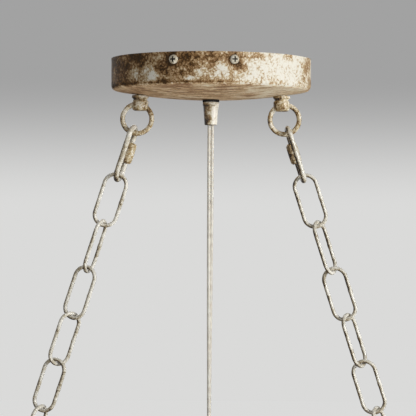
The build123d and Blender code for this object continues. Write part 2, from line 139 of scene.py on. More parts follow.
def add(tree: NodeTree, kind: str, links: dict | None = None, **settings) -> Node:
    """Add a node with its settings and links.

    Args:
        tree: The tree that the node joins.
        kind: The node's type name.
        links: What its inputs link to or hold.
        settings: The node's own properties; stops is a colour ramp's list of places and colours.

    Returns:
        The new node.
    """
    node = tree.nodes.new(kind)
    stops = settings.pop("stops", ())
    for name, value in settings.items():
        setattr(node, name, value)
    while stops and len(node.color_ramp.elements) < len(stops):
        node.color_ramp.elements.new(0.5)
    for number, (place, colour) in enumerate(stops):
        element = node.color_ramp.elements[number]
        element.position = place
        element.color = linear(colour) if isinstance(colour, str) else (colour, colour, colour, 1)
    connect(node, links or {})
    return node


def new_material(name: str) -> tuple[Material, NodeTree, Node]:
    """Start a material.

    Args:
        name: The material's name.

    Returns:
        The material, its tree and its Principled shader.
    """
    material = bpy.data.materials.new(name)
    material.use_nodes = True
    return material, material.node_tree, material.node_tree.nodes["Principled BSDF"]


# ---------------------------------------------------------------- finishes


@dataclass(frozen=True)
class Finish:
    """A finish in the object's own coordinates; each kind says what its surface is like."""

    name: str

    def surface(self, tree: NodeTree, place: NodeSocket) -> dict:
        """Make the nodes that feed the shader.

        Args:
            tree: The material's tree.
            place: The object's coordinates.

        Returns:
            What the Principled shader's inputs link to or hold.
        """
        raise NotImplementedError

    def material(self) -> Material:
        """Build the material.

        Returns:
            The finished material.
        """
        material, tree, shader = new_material(self.name)
        connect(shader, self.surface(tree, add(tree, "ShaderNodeTexCoord").outputs["Object"]))
        return material


@dataclass(frozen=True)
class WornPaint(Finish):
    """Cream paint brushed over brown and rubbed back: uneven, crackled, with flakes that stand proud."""

    coats: tuple[str, ...] = ("#3d290f", "#644521", "#8a6843", "#a98a62", "#c6ae88", "#dfd5bf", "#ebe6d9")
    left: float = 0.55
    patch_mm: float = 9.0
    flake_mm: float = 2.6
    speck_mm: float = 1.3
    strength: tuple[float, float, float] = (0.75, 0.6, 0.4)
    relief_mm: float = 0.12
    roughness: tuple[float, float] = (0.46, 0.7)
    shine: float = 0.5
    crackle: float = 0.0
    crackle_mm: float = 3.2
    crackle_bend: float = 2.5 * MM
    # Darkening of the surfaces that face left and down: painted shade
    lee: float = 0.0
    lee_side: tuple[float, float, float] = (-0.75, 0.0, -0.65)

    def left_over(self, tree: NodeTree, place: NodeSocket) -> Node | float:
        """How much of the upper coats is left at each place, from 0 to 1."""
        return self.left

    def last_word(self, tree: NodeTree, place: NodeSocket, level: Node, colour: Node) -> Node | NodeSocket:
        """The last word on the colour; the plain paint leaves it as it is."""
        return colour

    def surface(self, tree: NodeTree, place: NodeSocket) -> dict:
        """The coats, their relief and their shine, rubbed away by patches, flakes and specks.

        Args:
            tree: The material's tree.
            place: The object's coordinates.

        Returns:
            What the shader's inputs link to or hold.
        """
        patch, flake, speck = (
            add(tree, "ShaderNodeTexNoise", {"Vector": place, "Scale": per_mm(size), "Detail": detail,
                                             "Roughness": rough, "Distortion": bend})
            for size, detail, rough, bend in ((self.patch_mm, 3.0, 0.6, 0.5), (self.flake_mm, 3.0, 0.7, 1.2),
                                              (self.speck_mm, 1.0, 0.5, 0.0))
        )
        swings = [add(tree, "ShaderNodeMapRange", {"Value": mark, "From Min": 0.25, "From Max": 0.75,
                                                  "To Min": -height / 2, "To Max": height / 2})
                  for mark, height in zip((patch, flake, speck), self.strength)]
        # Surfaces that face left and down are darkened here: painted shade
        if self.lee:
            facing = add(tree, "ShaderNodeVectorMath", {0: add(tree, "ShaderNodeTexCoord").outputs["Normal"],
                                                       1: self.lee_side}, operation="DOT_PRODUCT")
            swings.append(add(tree, "ShaderNodeMapRange", {
                "Value": facing.outputs["Value"], "From Min": -0.2, "From Max": 0.8, "To Max": -self.lee}))
        if self.crackle:
            bent = add(tree, "ShaderNodeVectorMath", {0: flake.outputs["Color"], 1: (self.crackle_bend,) * 3,
                                                     2: place}, operation="MULTIPLY_ADD")
            cells = add(tree, "ShaderNodeTexVoronoi", {"Vector": bent, "Scale": per_mm(self.crackle_mm)},
                        feature="DISTANCE_TO_EDGE")
            swings.append(add(tree, "ShaderNodeMapRange", {
                "Value": cells.outputs["Distance"], "From Max": 0.16, "To Min": -self.crackle,
                "To Max": 0.04}))
        level = self.left_over(tree, place)
        for swing in swings:
            level = add(tree, "ShaderNodeMath", {0: swing, 1: level}, operation="ADD")
        coat = add(tree, "ShaderNodeValToRGB", {"Fac": level},
                   stops=list(zip(span(0.08, 0.92, len(self.coats) - 1), self.coats)))
        rough = add(tree, "ShaderNodeMapRange", {"Value": speck, "From Min": 0.3, "From Max": 0.7,
                                                "To Min": self.roughness[0], "To Max": self.roughness[1]})
        relief = add(tree, "ShaderNodeBump", {"Height": level, "Distance": self.relief_mm * MM})
        return {"Base Color": self.last_word(tree, place, level, coat), "Roughness": rough, "Normal": relief,
                "Specular IOR Level": self.shine}


@dataclass(frozen=True)
class Patch:
    """A place on the canopy's front where a coat was left or rubbed away, or where painted shade darkens the
    paint round a screw; sizes in millimetres.
    """

    x: float
    z: float
    half_width: float
    half_height: float
    lift: float


@dataclass(frozen=True)
class CanopyPaint(WornPaint):
    """The canopy's coats: dark and rubbed on the left, cream and crackled on the right, the change partly
    painted light from the right; tan below.
    """

    sides: tuple[float, float] = (-80.0, 80.0)
    patch_depth: float = 70 * MM
    patch_gain: float = 1.8
    bottom: tuple[tuple[float, str], ...] = ((0.49, "#8f6a48"), (0.58, "#bf9a72"), (0.66, "#dfc49c"),
                                             (0.75, "#f1e4ca"))
    # Level of the coats along X, lighter towards the right: partly the paint's own wear, partly painted light
    stops: tuple[tuple[float, float], ...] = (
        (0.0, 0.22), (0.1, 0.28), (0.25, 0.4), (0.4, 0.42), (0.55, 0.5), (0.68, 0.62), (0.76, 0.9),
        (0.92, 0.96), (0.97, 0.66), (1.0, 0.6),
    )
    foot: tuple[float, float] = (-26.0, -20.0)
    foot_fade: tuple[float, float] = (0.0, 45.0)
    foot_stops: tuple[tuple[float, float], ...] = ((0.0, 0.5), (0.16, 0.68), (0.34, 0.62), (0.46, 0.3),
                                                   (0.64, 0.36), (0.85, 0.5))
    patches: tuple[Patch, ...] = (
        Patch(-64, -15, 15, 10, 0.4), Patch(-52, -16, 22, 10, 0.36), Patch(-42, -18, 12, 7, 0.22),
        Patch(-32, -8, 14, 9, -0.2), Patch(-24, -17, 12, 9, -0.12), Patch(-16, -20, 10, 4, 0.3),
        Patch(-7, -16, 12, 8, 0.26), Patch(8, -13, 14, 11, 0.36), Patch(-18, -21, 14, 4, 0.2),
        Patch(-2, -4, 26, 5, -0.14), Patch(18, -8, 12, 9, -0.2), Patch(26, -15, 8, 10, -0.1),
        # The patches at x -28.5 and 17.6 darken the paint round the front screws: painted shade
        Patch(40, -12, 14, 10, 0.14), Patch(58, -17, 20, 8, 0.14), Patch(-28.5, -7, 8, 8, -0.2),
        Patch(17.6, -7, 7, 7, -0.16),
    )

    def left_over(self, tree: NodeTree, place: NodeSocket) -> Node | float:
        """More cream is left towards the right, partly as painted light, and in patches on the front.

        Args:
            tree: The material's tree.
            place: The object's coordinates.

        Returns:
            The node whose first output is the share that is left.
        """
        parts = add(tree, "ShaderNodeSeparateXYZ", {0: place}).outputs
        share, rise, kept = (
            add(tree, "ShaderNodeMapRange", {"Value": parts[axis], "From Min": low * MM,
                                             "From Max": high * MM, "To Min": first, "To Max": last})
            for axis, (low, high), first, last in (("X", self.sides, 0.0, 1.0), ("Z", self.foot, 0.0, 1.0),
                                                   ("X", self.foot_fade, 1.0, 0.1)))
        # Lighter towards the right: partly the paint, partly painted light
        level = add(tree, "ShaderNodeValToRGB", {"Fac": share}, stops=self.stops)
        # A dark ring low on the wall is painted shade above the rounded foot, with a lighter ring under it;
        # both fade towards the right
        ring = add(tree, "ShaderNodeValToRGB", {"Fac": rise}, stops=self.foot_stops)
        lift = add(tree, "ShaderNodeMath", {0: ring, 1: 0.5}, operation="SUBTRACT")
        level = add(tree, "ShaderNodeMath", {0: lift, 1: kept, 2: level}, operation="MULTIPLY_ADD")
        for patch in self.patches:
            reach = (patch.half_width * MM, self.patch_depth, patch.half_height * MM)
            centre = (patch.x * MM, self.sides[0] * MM, patch.z * MM)
            spot = add(tree, "ShaderNodeMapping", {
                "Vector": place, "Location": [-at / size for at, size in zip(centre, reach)],
                "Scale": [1 / size for size in reach],
            })
            ball = add(tree, "ShaderNodeTexGradient", {"Vector": spot}, gradient_type="QUADRATIC_SPHERE")
            level = add(tree, "ShaderNodeMath", {0: ball.outputs["Fac"], 1: patch.lift * self.patch_gain,
                                                2: level}, operation="MULTIPLY_ADD")
        return level

    def last_word(self, tree: NodeTree, place: NodeSocket, level: Node, colour: Node) -> Node | NodeSocket:
        """Lay the streaked tan over what faces down.

        Args:
            tree: The material's tree.
            place: The object's coordinates.
            level: How much paint is left.
            colour: The coats' colour.

        Returns:
            The socket with the final colour.
        """
        facing = add(tree, "ShaderNodeSeparateXYZ", {0: add(tree, "ShaderNodeTexCoord").outputs["Normal"]})
        ragged = add(tree, "ShaderNodeTexNoise", {"Vector": place, "Scale": per_mm(5.0), "Detail": 4.0})
        turn = add(tree, "ShaderNodeMath", {0: ragged, 1: 0.5, 2: facing.outputs["Z"]},
                   operation="MULTIPLY_ADD")
        below = add(tree, "ShaderNodeMapRange", {"Value": turn, "From Min": -0.45, "From Max": -0.65})
        stretch = add(tree, "ShaderNodeMapping", {"Vector": place, "Scale": (0.25, 1.0, 1.0)})
        streak = add(tree, "ShaderNodeTexNoise", {"Vector": stretch, "Scale": per_mm(6.0), "Detail": 6.0,
                                                 "Roughness": 0.75})
        worn = add(tree, "ShaderNodeMath", {0: level, 1: 0.22, 2: streak}, operation="MULTIPLY_ADD")
        tan = add(tree, "ShaderNodeValToRGB", {"Fac": worn}, stops=self.bottom)
        mixed = add(tree, "ShaderNodeMix", {"Factor": below, "A": colour, "B": tan}, data_type="RGBA")
        return mixed.outputs[2]


@dataclass(frozen=True)
class PlatedSteel(Finish):
    """Zinc plated steel, pressed or cut: a dull metal with faint spangle and rolling marks."""

    tint: tuple[str, str] = ("#9a9c9c", "#b9bbb9")
    spangle_mm: float = 3.0
    roughness: tuple[float, float] = (0.3, 0.48)

    def surface(self, tree: NodeTree, place: NodeSocket) -> dict:
        """A spangled tint, with rolling marks in its roughness.

        Args:
            tree: The material's tree.
            place: The object's coordinates.

        Returns:
            What the shader's inputs link to or hold.
        """
        cells = add(tree, "ShaderNodeTexVoronoi", {"Vector": place, "Scale": per_mm(self.spangle_mm)})
        marks = add(tree, "ShaderNodeTexNoise", {"Vector": place, "Scale": per_mm(1.2), "Detail": 4.0})
        mixed = add(tree, "ShaderNodeMix", {"Factor": cells.outputs["Color"], "A": linear(self.tint[0]),
                                           "B": linear(self.tint[1])}, data_type="RGBA")
        rough = add(tree, "ShaderNodeMapRange", {"Value": marks, "To Min": self.roughness[0],
                                                "To Max": self.roughness[1]})
        return {"Base Color": mixed.outputs[2], "Roughness": rough, "Metallic": 1.0}


@dataclass(frozen=True)
class Moulded(Finish):
    """A moulded or extruded plastic, card or fibre: even colour, faint mottle, fine grain."""

    colours: tuple[str, str]
    mottle_mm: float = 4.0
    grain_mm: float = 0.4
    relief_mm: float = 0.01
    roughness: float = 0.45
    ior: float = 1.5
    scatter: float = 0.0
    scatter_mm: float = 1.5

    def surface(self, tree: NodeTree, place: NodeSocket) -> dict:
        """A mottled tint over a fine grain.

        Args:
            tree: The material's tree.
            place: The object's coordinates.

        Returns:
            What the shader's inputs link to or hold.
        """
        mottle, grain = (
            add(tree, "ShaderNodeTexNoise", {"Vector": place, "Scale": per_mm(size), "Detail": detail})
            for size, detail in ((self.mottle_mm, 4.0), (self.grain_mm, 2.0))
        )
        tint = add(tree, "ShaderNodeValToRGB", {"Fac": mottle}, stops=list(zip((0.35, 0.65), self.colours)))
        relief = add(tree, "ShaderNodeBump", {"Height": grain, "Distance": self.relief_mm * MM})
        return {"Base Color": tint, "Normal": relief, "Roughness": self.roughness, "IOR": self.ior,
                "Subsurface Weight": self.scatter, "Subsurface Scale": self.scatter_mm * MM,
                "Subsurface Radius": (1.0, 0.85, 0.65)}


@dataclass(frozen=True)
class BlownGlass(Finish):
    """Clear blown soda-lime glass: sharp gloss, with a very slow waviness."""

    name: str = "clear_soda_lime_glass"

    def surface(self, tree: NodeTree, place: NodeSocket) -> dict:
        """A clear, slightly wavy wall.

        Args:
            tree: The material's tree.
            place: The object's coordinates.

        Returns:
            What the shader's inputs link to or hold.
        """
        wave = add(tree, "ShaderNodeTexNoise", {"Vector": place, "Scale": per_mm(14.0), "Detail": 1.0})
        tint = add(tree, "ShaderNodeMix", {"Factor": wave, "A": linear("#f6f7f4"), "B": linear("#fdfdfb")},
                   data_type="RGBA")
        relief = add(tree, "ShaderNodeBump", {"Height": wave, "Distance": 0.05 * MM})
        return {"Base Color": tint.outputs[2], "Normal": relief, "Roughness": 0.0, "IOR": 1.5,
                "Transmission Weight": 1.0}


@dataclass(frozen=True)
class Brass(Finish):
    """Spun brass of a lamp base: warm metal, slightly dulled in blotches."""

    name: str = "spun_brass"

    def surface(self, tree: NodeTree, place: NodeSocket) -> dict:
        """A tint and a roughness that change together.

        Args:
            tree: The material's tree.
            place: The object's coordinates.

        Returns:
            What the shader's inputs link to or hold.
        """
        dull = add(tree, "ShaderNodeTexNoise", {"Vector": place, "Scale": per_mm(3.0), "Detail": 5.0})
        tint = add(tree, "ShaderNodeValToRGB", {"Fac": dull}, stops=((0.3, "#a98a4e"), (0.7, "#d0b372")))
        rough = add(tree, "ShaderNodeMapRange", {"Value": dull, "To Min": 0.2, "To Max": 0.42})
        return {"Base Color": tint, "Roughness": rough, "Metallic": 1.0}


def mixture(finish: Finish) -> Material:
    """A field of the paint box, whose material is built when the box is made."""
    return field(default_factory=finish.material)


@dataclass
class Paintbox:
    """Every finish of the chandelier, made once."""

    # Steel with cream over brown milk paint: chalky, blotched, its flakes thick enough to catch light
    canopy: Material = mixture(CanopyPaint(
        "milk_paint_on_pressed_steel", patch_mm=13.0, flake_mm=3.4, speck_mm=1.5, strength=(0.85, 0.56, 0.26),
        relief_mm=0.3, roughness=(0.5, 0.8), shine=0.22, crackle=0.2))
    # Forged wire with a cream wash: silky where rubbed, brown in the pits; its left and lower sides are
    # darkened as painted shade
    metalwork: Material = mixture(WornPaint(
        "cream_wash_on_steel_wire",
        ("#35281a", "#66543b", "#9a8b6f", "#b9ae96", "#cfc8b6", "#dfdacc", "#ece8dd"),
        left=0.8, patch_mm=9.0, flake_mm=2.4, speck_mm=1.2, strength=(0.8, 0.55, 0.25), relief_mm=0.08,
        roughness=(0.16, 0.36), shine=0.6, lee=0.75))
    # Turned studs, rings and nuts with the same wash, handled more: golden brown shows through the cream;
    # their left and lower sides are darkened as painted shade
    turned: Material = mixture(WornPaint(
        "rubbed_wash_on_turned_steel",
        ("#2c1e0f", "#5a4224", "#866a42", "#a89067", "#c3b391", "#d9cfb6", "#ebe4d4"),
        left=0.74, patch_mm=6.2, flake_mm=2.2, speck_mm=1.1, strength=(0.9, 0.55, 0.25), relief_mm=0.08,
        roughness=(0.16, 0.36), shine=0.5, lee=0.45))
    # The cord grips' cream is streaked with brown; their left and lower sides are darkened strongly as
    # painted shade
    grip: Material = mixture(WornPaint(
        "cream_wash_on_cord_grip",
        ("#2c1e0f", "#5a4224", "#8a7048", "#b3a07c", "#d2c8b0", "#e6e1d1", "#f2eee2"),
        left=0.92, patch_mm=5.0, flake_mm=1.8, speck_mm=1.0, strength=(0.7, 0.5, 0.2), relief_mm=0.1,
        roughness=(0.2, 0.4), shine=0.5, lee=0.9))
    # Rolled strip with the canopy's two coats: broader patches along the bands, the left and lower sides a
    # little darkened as painted shade
    cage: Material = mixture(WornPaint(
        "milk_paint_on_rolled_strip", left=0.62, patch_mm=16.0, flake_mm=4.0, speck_mm=1.6, relief_mm=0.2,
        shine=0.3, crackle=0.12, crackle_mm=4.0, lee=0.12))
    # Enamelled screw heads: off-white, a little gloss
    screw: Material = mixture(WornPaint(
        "enamel_on_screw_head", ("#5a4a34", "#8c7858", "#ab9878", "#bdb29a", "#d8d0bc", "#e9e3d5", "#f1ecdf"),
        left=0.57, patch_mm=4.0, flake_mm=1.6, speck_mm=0.8, strength=(0.5, 0.4, 0.2), relief_mm=0.04,
        roughness=(0.28, 0.45)))
    # The cross recess is painted near black: painted shade
    recess: Material = mixture(Moulded("blackened_recess", ("#241c14", "#3a2e20"), 0.8, roughness=0.75))
    zinc: Material = mixture(PlatedSteel("zinc_plated_steel"))
    green: Material = mixture(PlatedSteel("green_dyed_zinc", tint=("#1f6b38", "#2f8248"), spangle_mm=1.5))
    # Vulcanised fibre: black, dry and matt
    fibre: Material = mixture(Moulded("vulcanised_fibre", ("#0f0e0d", "#1b1917"), 1.5, roughness=0.82))
    # Soft clear PVC over tinned strands: beige, waxy, light soaks into it
    cord: Material = mixture(Moulded("soft_clear_pvc", ("#cdc6b8", "#e3dfd3"), 5.0, roughness=0.34, ior=1.53,
                                     scatter=0.15))
    wire_nut: Material = mixture(Moulded("moulded_nylon", ("#c46a1c", "#cf7524"), 6.0, roughness=0.4,
                                         ior=1.53))
    # Ivory candle tube: moulded resin card with a waxy, warm white body
    candle: Material = mixture(Moulded("ivory_candle_tube", ("#ddd2b8", "#eae2cd"), 12.0, grain_mm=0.9,
                                       relief_mm=0.03, roughness=0.5, scatter=0.2))
    phenolic: Material = mixture(Moulded("black_phenolic", ("#14110f", "#1e1a17"), 2.0, roughness=0.3,
                                         ior=1.6))
    glass: Material = mixture(BlownGlass())
    brass: Material = mixture(Brass())
    # Phosphor coat on a lamp's thin filament strips: powdery yellow
    phosphor: Material = mixture(Moulded("phosphor_coat", ("#d9a93a", "#e6bd55"), 0.8, roughness=0.8))


# ---------------------------------------------------------------- objects and meshes


def put(name: str, data: ID) -> Object:
    """Make an object and link it into the scene.

    Args:
        name: The object's name.
        data: Its mesh, curve, camera or light.

    Returns:
        The new object.
    """
    made = bpy.data.objects.new(name, data)
    bpy.context.scene.collection.objects.link(made)
    return made


def evaluated(holder: Object) -> Mesh:
    """Take an object's evaluated shape and remove the object.

    Args:
        holder: The object, with its modifiers or curve.

    Returns:
        One plain mesh.
    """
    graph = bpy.context.evaluated_depsgraph_get()
    made = bpy.data.meshes.new_from_object(holder.evaluated_get(graph), depsgraph=graph)
    bpy.data.objects.remove(holder)
    return made


def piece(name: str, mesh: Mesh, finish: Material | None = None, angle: float = 35.0) -> Object:
    """Make a finished object at the origin from a mesh that holds its own place.

    Args:
        name: The piece's name.
        mesh: Its mesh, in the frame's places.
        finish: Its finish, unless the mesh already has one.
        angle: The angle in degrees above which an edge stays sharp.

    Returns:
        The new object, in the scene.
    """
    mesh.name = name
    mesh.shade_smooth()
    mesh.set_sharp_from_angle(angle=math.radians(angle))
    return put(name, painted(mesh, finish) if finish else mesh)


def settle(name: str, mesh: Mesh, finish: Material | None, body: str, slot: str, *nodes: str,
           angle: float = 35.0) -> None:
    """Make a piece that rides on its body and stands for its CAD nodes, which are hidden.

    Args:
        name: The piece's name.
        mesh: Its mesh, in the frame's places.
        finish: Its finish, unless the mesh already has one.
        body: The body that it rides on.
        slot: Not used.
        nodes: The CAD nodes that it stands for.
        angle: The angle in degrees above which an edge stays sharp.
    """
    made = piece(name, mesh, finish, angle)
    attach(made, body)
    if nodes:
        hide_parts(*nodes)
    LOG.info("%s: %d faces on %s", made.name, len(made.data.polygons), body)


def middle(node: str) -> Vector:
    """The middle of a CAD node's box."""
    low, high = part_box(node)
    return (Vector(low) + Vector(high)) / 2


def dress(material: Material, *nodes: str) -> None:
    """Give CAD nodes that stay a finish.

    Args:
        material: The finish.
        nodes: The nodes' names.
    """
    for node in nodes:
        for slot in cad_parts[node].material_slots:
            slot.material = material


def clean(mesh: Mesh) -> Mesh:
    """Merge a mesh's doubles and turn its faces outwards.

    Args:
        mesh: The mesh to change.

    Returns:
        The same mesh.
    """
    work = bmesh.new()
    work.from_mesh(mesh)
    bmesh.ops.remove_doubles(work, verts=work.verts, dist=1e-7)
    bmesh.ops.recalc_face_normals(work, faces=work.faces)
    work.to_mesh(mesh)
    work.free()
    return mesh


def shape(points: Sequence[Sequence[float]], faces: Sequence[Sequence[int]]) -> Mesh:
    """A mesh from points and faces, with its faces turned outwards.

    Args:
        points: The places of its points.
        faces: The numbers of each face's points.

    Returns:
        A new mesh.
    """
    mesh = bpy.data.meshes.new("shape")
    mesh.from_pydata([tuple(point) for point in points], [], [tuple(face) for face in faces])
    return clean(mesh)


def loft(rings: Sequence[Sequence[Sequence[float]]], looped: bool = False) -> Mesh:
    """Lay a skin over rings of points.

    Args:
        rings: The rings in order, each with the same number of points.
        looped: Whether the last ring joins the first; otherwise both end rings are closed.

    Returns:
        A closed mesh.
    """
    rows, count = len(rings), len(rings[0])
    faces = []
    for row in range(rows if looped else rows - 1):
        here, there = row * count, (row + 1) % rows * count
        for column in range(count):
            after = (column + 1) % count
            faces.append((here + column, here + after, there + after, there + column))
    if not looped:
        faces += [tuple(range(count)), tuple(range((rows - 1) * count, rows * count))]
    return shape([point for ring in rings for point in ring], faces)


def turned(outline: Outline, steps: int = 48, closed: bool = False) -> Mesh:
    """Turn an outline about the Z axis.

    Args:
        outline: Radius and height of each point, in metres.
        steps: Points round the axis.
        closed: Whether the outline's last point joins its first, as a tube's does; otherwise its ends lie
            on the axis.

    Returns:
        A closed mesh.
    """
    points, rings, faces = [], [], []
    for radius, height in outline:
        on_axis = radius < 1e-9
        rings.append([len(points)] * steps if on_axis else list(range(len(points), len(points) + steps)))
        points += [(0, 0, height)] if on_axis else [
            (radius * math.cos(turn), radius * math.sin(turn), height) for turn in turns(steps)]
    for low, high in zip(rings, rings[1:] + (rings[:1] if closed else [])):
        for step in range(steps):
            after = (step + 1) % steps
            face = list(dict.fromkeys((low[step], low[after], high[after], high[step])))
            if len(face) > 2:
                faces.append(face)
    return shape(points, faces)


def tube(path: Sequence[Vector], radius: float, sides: int = 10, looped: bool = False) -> Mesh:
    """A round wire along a path.

    Args:
        path: The wire's middle line.
        radius: Half the wire's thickness.
        sides: Points round the wire.
        looped: Whether the wire's end joins its start; otherwise both ends are closed.

    Returns:
        A closed mesh.
    """
    rings, count, normal = [], len(path), None
    for index, point in enumerate(path):
        before = path[index - 1] if index or looped else point
        after = path[(index + 1) % count] if index < count - 1 or looped else point
        along = (after - before).normalized()
        normal = normal or along.orthogonal().normalized()
        normal = (normal - along * normal.dot(along)).normalized()
        side = along.cross(normal)
        rings.append([point + (normal * math.cos(turn) + side * math.sin(turn)) * radius
                      for turn in turns(sides)])
    return loft(rings, looped)


def joined(meshes: Sequence[Mesh]) -> Mesh:
    """One mesh from several, each keeping its own shape and finish.

    Args:
        meshes: The meshes.

    Returns:
        A new mesh.
    """
    work = bmesh.new()
    materials: list[Material] = []
    for mesh in meshes:
        slots = {}
        for number, material in enumerate(mesh.materials):
            if material not in materials:
                materials.append(material)
            slots[number] = materials.index(material)
        first = len(work.faces)
        work.from_mesh(mesh)
        work.faces.ensure_lookup_table()
        for face in work.faces[first:]:
            face.material_index = slots.get(face.material_index, 0)
    out = bpy.data.meshes.new("joined")
    work.to_mesh(out)
    work.free()
    for material in materials:
        out.materials.append(material)
    return out


def painted(mesh: Mesh, material: Material) -> Mesh:
    """Give a mesh one finish.

    Args:
        mesh: The mesh to change.
        material: The finish.

    Returns:
        The same mesh.
    """
    mesh.materials.clear()
    mesh.materials.append(material)
    return mesh


def placed(mesh: Mesh, matrix: Matrix) -> Mesh:
    """Move a mesh's own points."""
    mesh.transform(matrix)
    return mesh


def shifted(mesh: Mesh, x: float, z: float = 0.0) -> Mesh:
    """Move a mesh's own points along X and up."""
    return placed(mesh, Matrix.Translation((x, 0, z)))


def with_modifier(mesh: Mesh, kind: str, **settings) -> Mesh:
    """Run one modifier on a mesh and keep its result.

    Args:
        mesh: The mesh to change.
        kind: The modifier's type.
        settings: The modifier's properties.

    Returns:
        A new, plain mesh.
    """
    holder = put("holder", mesh)
    modifier = holder.modifiers.new("work", kind)
    for name, value in settings.items():
        setattr(modifier, name, value)
    return evaluated(holder)


def without(mesh: Mesh, cutter: Mesh) -> Mesh:
    """Cut one closed mesh out of another; a finish on the cutter stays on the cut.

    Args:
        mesh: The mesh to cut.
        cutter: What is taken away.

    Returns:
        A new mesh.
    """
    holder = put("cutter", cutter)
    made = with_modifier(mesh, "BOOLEAN", object=holder, operation="DIFFERENCE", solver="EXACT",
                         material_mode="TRANSFER")
    bpy.data.objects.remove(holder)
    return made


def eased(mesh: Mesh, width: float, segments: int = 2, angle: float = 30.0) -> Mesh:
    """Round a mesh's sharp edges by a width in metres."""
    return with_modifier(mesh, "BEVEL", width=width, segments=segments, limit_method="ANGLE",
                         angle_limit=math.radians(angle))


def roughened(mesh: Mesh, height: float = 0.1 * MM, size: float = 2.6 * MM) -> Mesh:
    """Give a mesh the slow unevenness of forged wire.

    Args:
        mesh: The mesh to change.
        height: The most that a point moves, in metres.
        size: The size of a lump, in metres.

    Returns:
        The same mesh.
    """
    normals = [Vector(vertex.normal) for vertex in mesh.vertices]
    for vertex, out in zip(mesh.vertices, normals):
        vertex.co += out * (noise.noise(Vector(vertex.co) / size) * height)
    return mesh


def block(low: Sequence[float], high: Sequence[float]) -> Mesh:
    """A box between two corners, as the blank for an eased or cut piece.

    Args:
        low: Its lowest corner.
        high: Its highest corner.

    Returns:
        A closed mesh.
    """
    corners = [(x, y, z) for z in (low[2], high[2]) for y in (low[1], high[1]) for x in (low[0], high[0])]
    faces = [(0, 1, 3, 2), (4, 6, 7, 5), (0, 4, 5, 1), (2, 3, 7, 6), (0, 2, 6, 4), (1, 5, 7, 3)]
    return shape(corners, faces)


def rod(radius: float, low: float, high: float, steps: int = 32) -> Mesh:
    """A round bar on the Z axis, as a blank or a cutter."""
    return turned([(0, low), (radius, low), (radius, high), (0, high)], steps)


def six_flats(turn: float) -> float:
    """How far a hexagon whose flats are one from its middle reaches at a turn."""
    return 1 / math.cos((turn + math.pi / 6) % (math.pi / 3) - math.pi / 6)


def hexagon(across: float, low: float, high: float) -> Mesh:
    """A hexagon bar on the Z axis with its corners chamfered by a cone, as a nut's blank.

    Args:
        across: Its width across the flats.
        low: The height of its foot.
        high: The height of its top.

    Returns:
        A closed mesh.
    """
    half, radius = across / 2, across / math.sqrt(3)
    chamfer = (radius - half) * 0.55
    rings = []
    for level, reach in ((low, half), (low + chamfer, radius), (high - chamfer, radius), (high, half)):
        reaches = [(turn, min(half * six_flats(turn), reach)) for turn in turns(24)]
        rings.append([(here * math.cos(turn), here * math.sin(turn), level) for turn, here in reaches])
    return loft(rings)


def profile(node: str, *runs: Outline) -> list[tuple[float, float]]:
    """An outline for turning, fitted to a CAD node's foot and top.

    Args:
        node: The CAD node.
        runs: Radius and height in millimetres; the runs' heights count by turns from the foot and the top.

    Returns:
        Radius and height of each point, in metres.
    """
    low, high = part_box(node)
    return [(radius * MM, (low[2], high[2])[number % 2] + height * MM)
            for number, run in enumerate(runs) for radius, height in run]


# ---------------------------------------------------------------- geometry node trees


@dataclass(frozen=True)
class Spot:
    """A place for one copy of a repeated shape."""

    at: Vector
    turn: Matrix = field(default_factory=lambda: Matrix.Identity(3))

    @property
    def matrix(self) -> Matrix:
        """The spot's place and turn in one."""
        return Matrix.Translation(self.at) @ self.turn.to_4x4()


@dataclass
class NodeTool:
    """A Geometry Nodes tree with named inputs that makes plain meshes from spots."""

    tree: NodeTree

    def grow(self, name: str, spots: Sequence[Spot], values: dict, merge: bool = True) -> Mesh:
        """Run the tree on a set of spots.

        Args:
            name: The result's name.
            spots: Where the copies go and how they turn.
            values: The tree's inputs by name.
            merge: Whether doubles are merged and faces turned outwards; a glass wall keeps its inner face.

        Returns:
            One plain mesh.
        """
        seeds = bpy.data.meshes.new(name)
        seeds.from_pydata([tuple(spot.at) for spot in spots], [], [])
        turn = seeds.attributes.new("turn", "FLOAT_VECTOR", "POINT")
        turn.data.foreach_set("vector", [value for spot in spots for value in spot.turn.to_euler()])
        holder = put(name, seeds)
        modifier = holder.modifiers.new("grow", "NODES")
        modifier.node_group = self.tree
        for item in self.tree.interface.items_tree:
            if item.item_type == "SOCKET" and item.in_out == "INPUT" and item.name in values:
                modifier[item.identifier] = values[item.name]
        made = evaluated(holder)
        return clean(made) if merge else made


def start_tree(name: str, inputs: dict[str, tuple[str, float | None]]) -> tuple[NodeTree, Node]:
    """Start a Geometry Nodes tree with named inputs.

    Args:
        name: The tree's name.
        inputs: Each input's name with its socket type and default.

    Returns:
        The tree and its input node.
    """
    tree = bpy.data.node_groups.new(name, "GeometryNodeTree")
    tree.interface.new_socket(name="Geometry", in_out="INPUT", socket_type="NodeSocketGeometry")
    for label, (kind, default) in inputs.items():
        socket = tree.interface.new_socket(name=label, in_out="INPUT", socket_type=kind)
        if default is not None:
            socket.default_value = default
    tree.interface.new_socket(name="Geometry", in_out="OUTPUT", socket_type="NodeSocketGeometry")
    return tree, add(tree, "NodeGroupInput")


def spread(tree: NodeTree, given: Node, thing: Node | NodeSocket) -> Node:
    """Set a shape on every spot, turned as the spot says, and make the copies real.

    Args:
        tree: The tree.
        given: Its input node, with the spots.
        thing: The node that makes the shape.

    Returns:
        The node that makes the copies real.
    """
    turn = add(tree, "GeometryNodeInputNamedAttribute", {"Name": "turn"}, data_type="FLOAT_VECTOR")
    rotation = add(tree, "FunctionNodeEulerToRotation", {0: turn.outputs["Attribute"]})
    copies = add(tree, "GeometryNodeInstanceOnPoints", {
        "Points": given.outputs["Geometry"], "Instance": thing, "Rotation": rotation,
    })
    return add(tree, "GeometryNodeRealizeInstances", {0: copies})


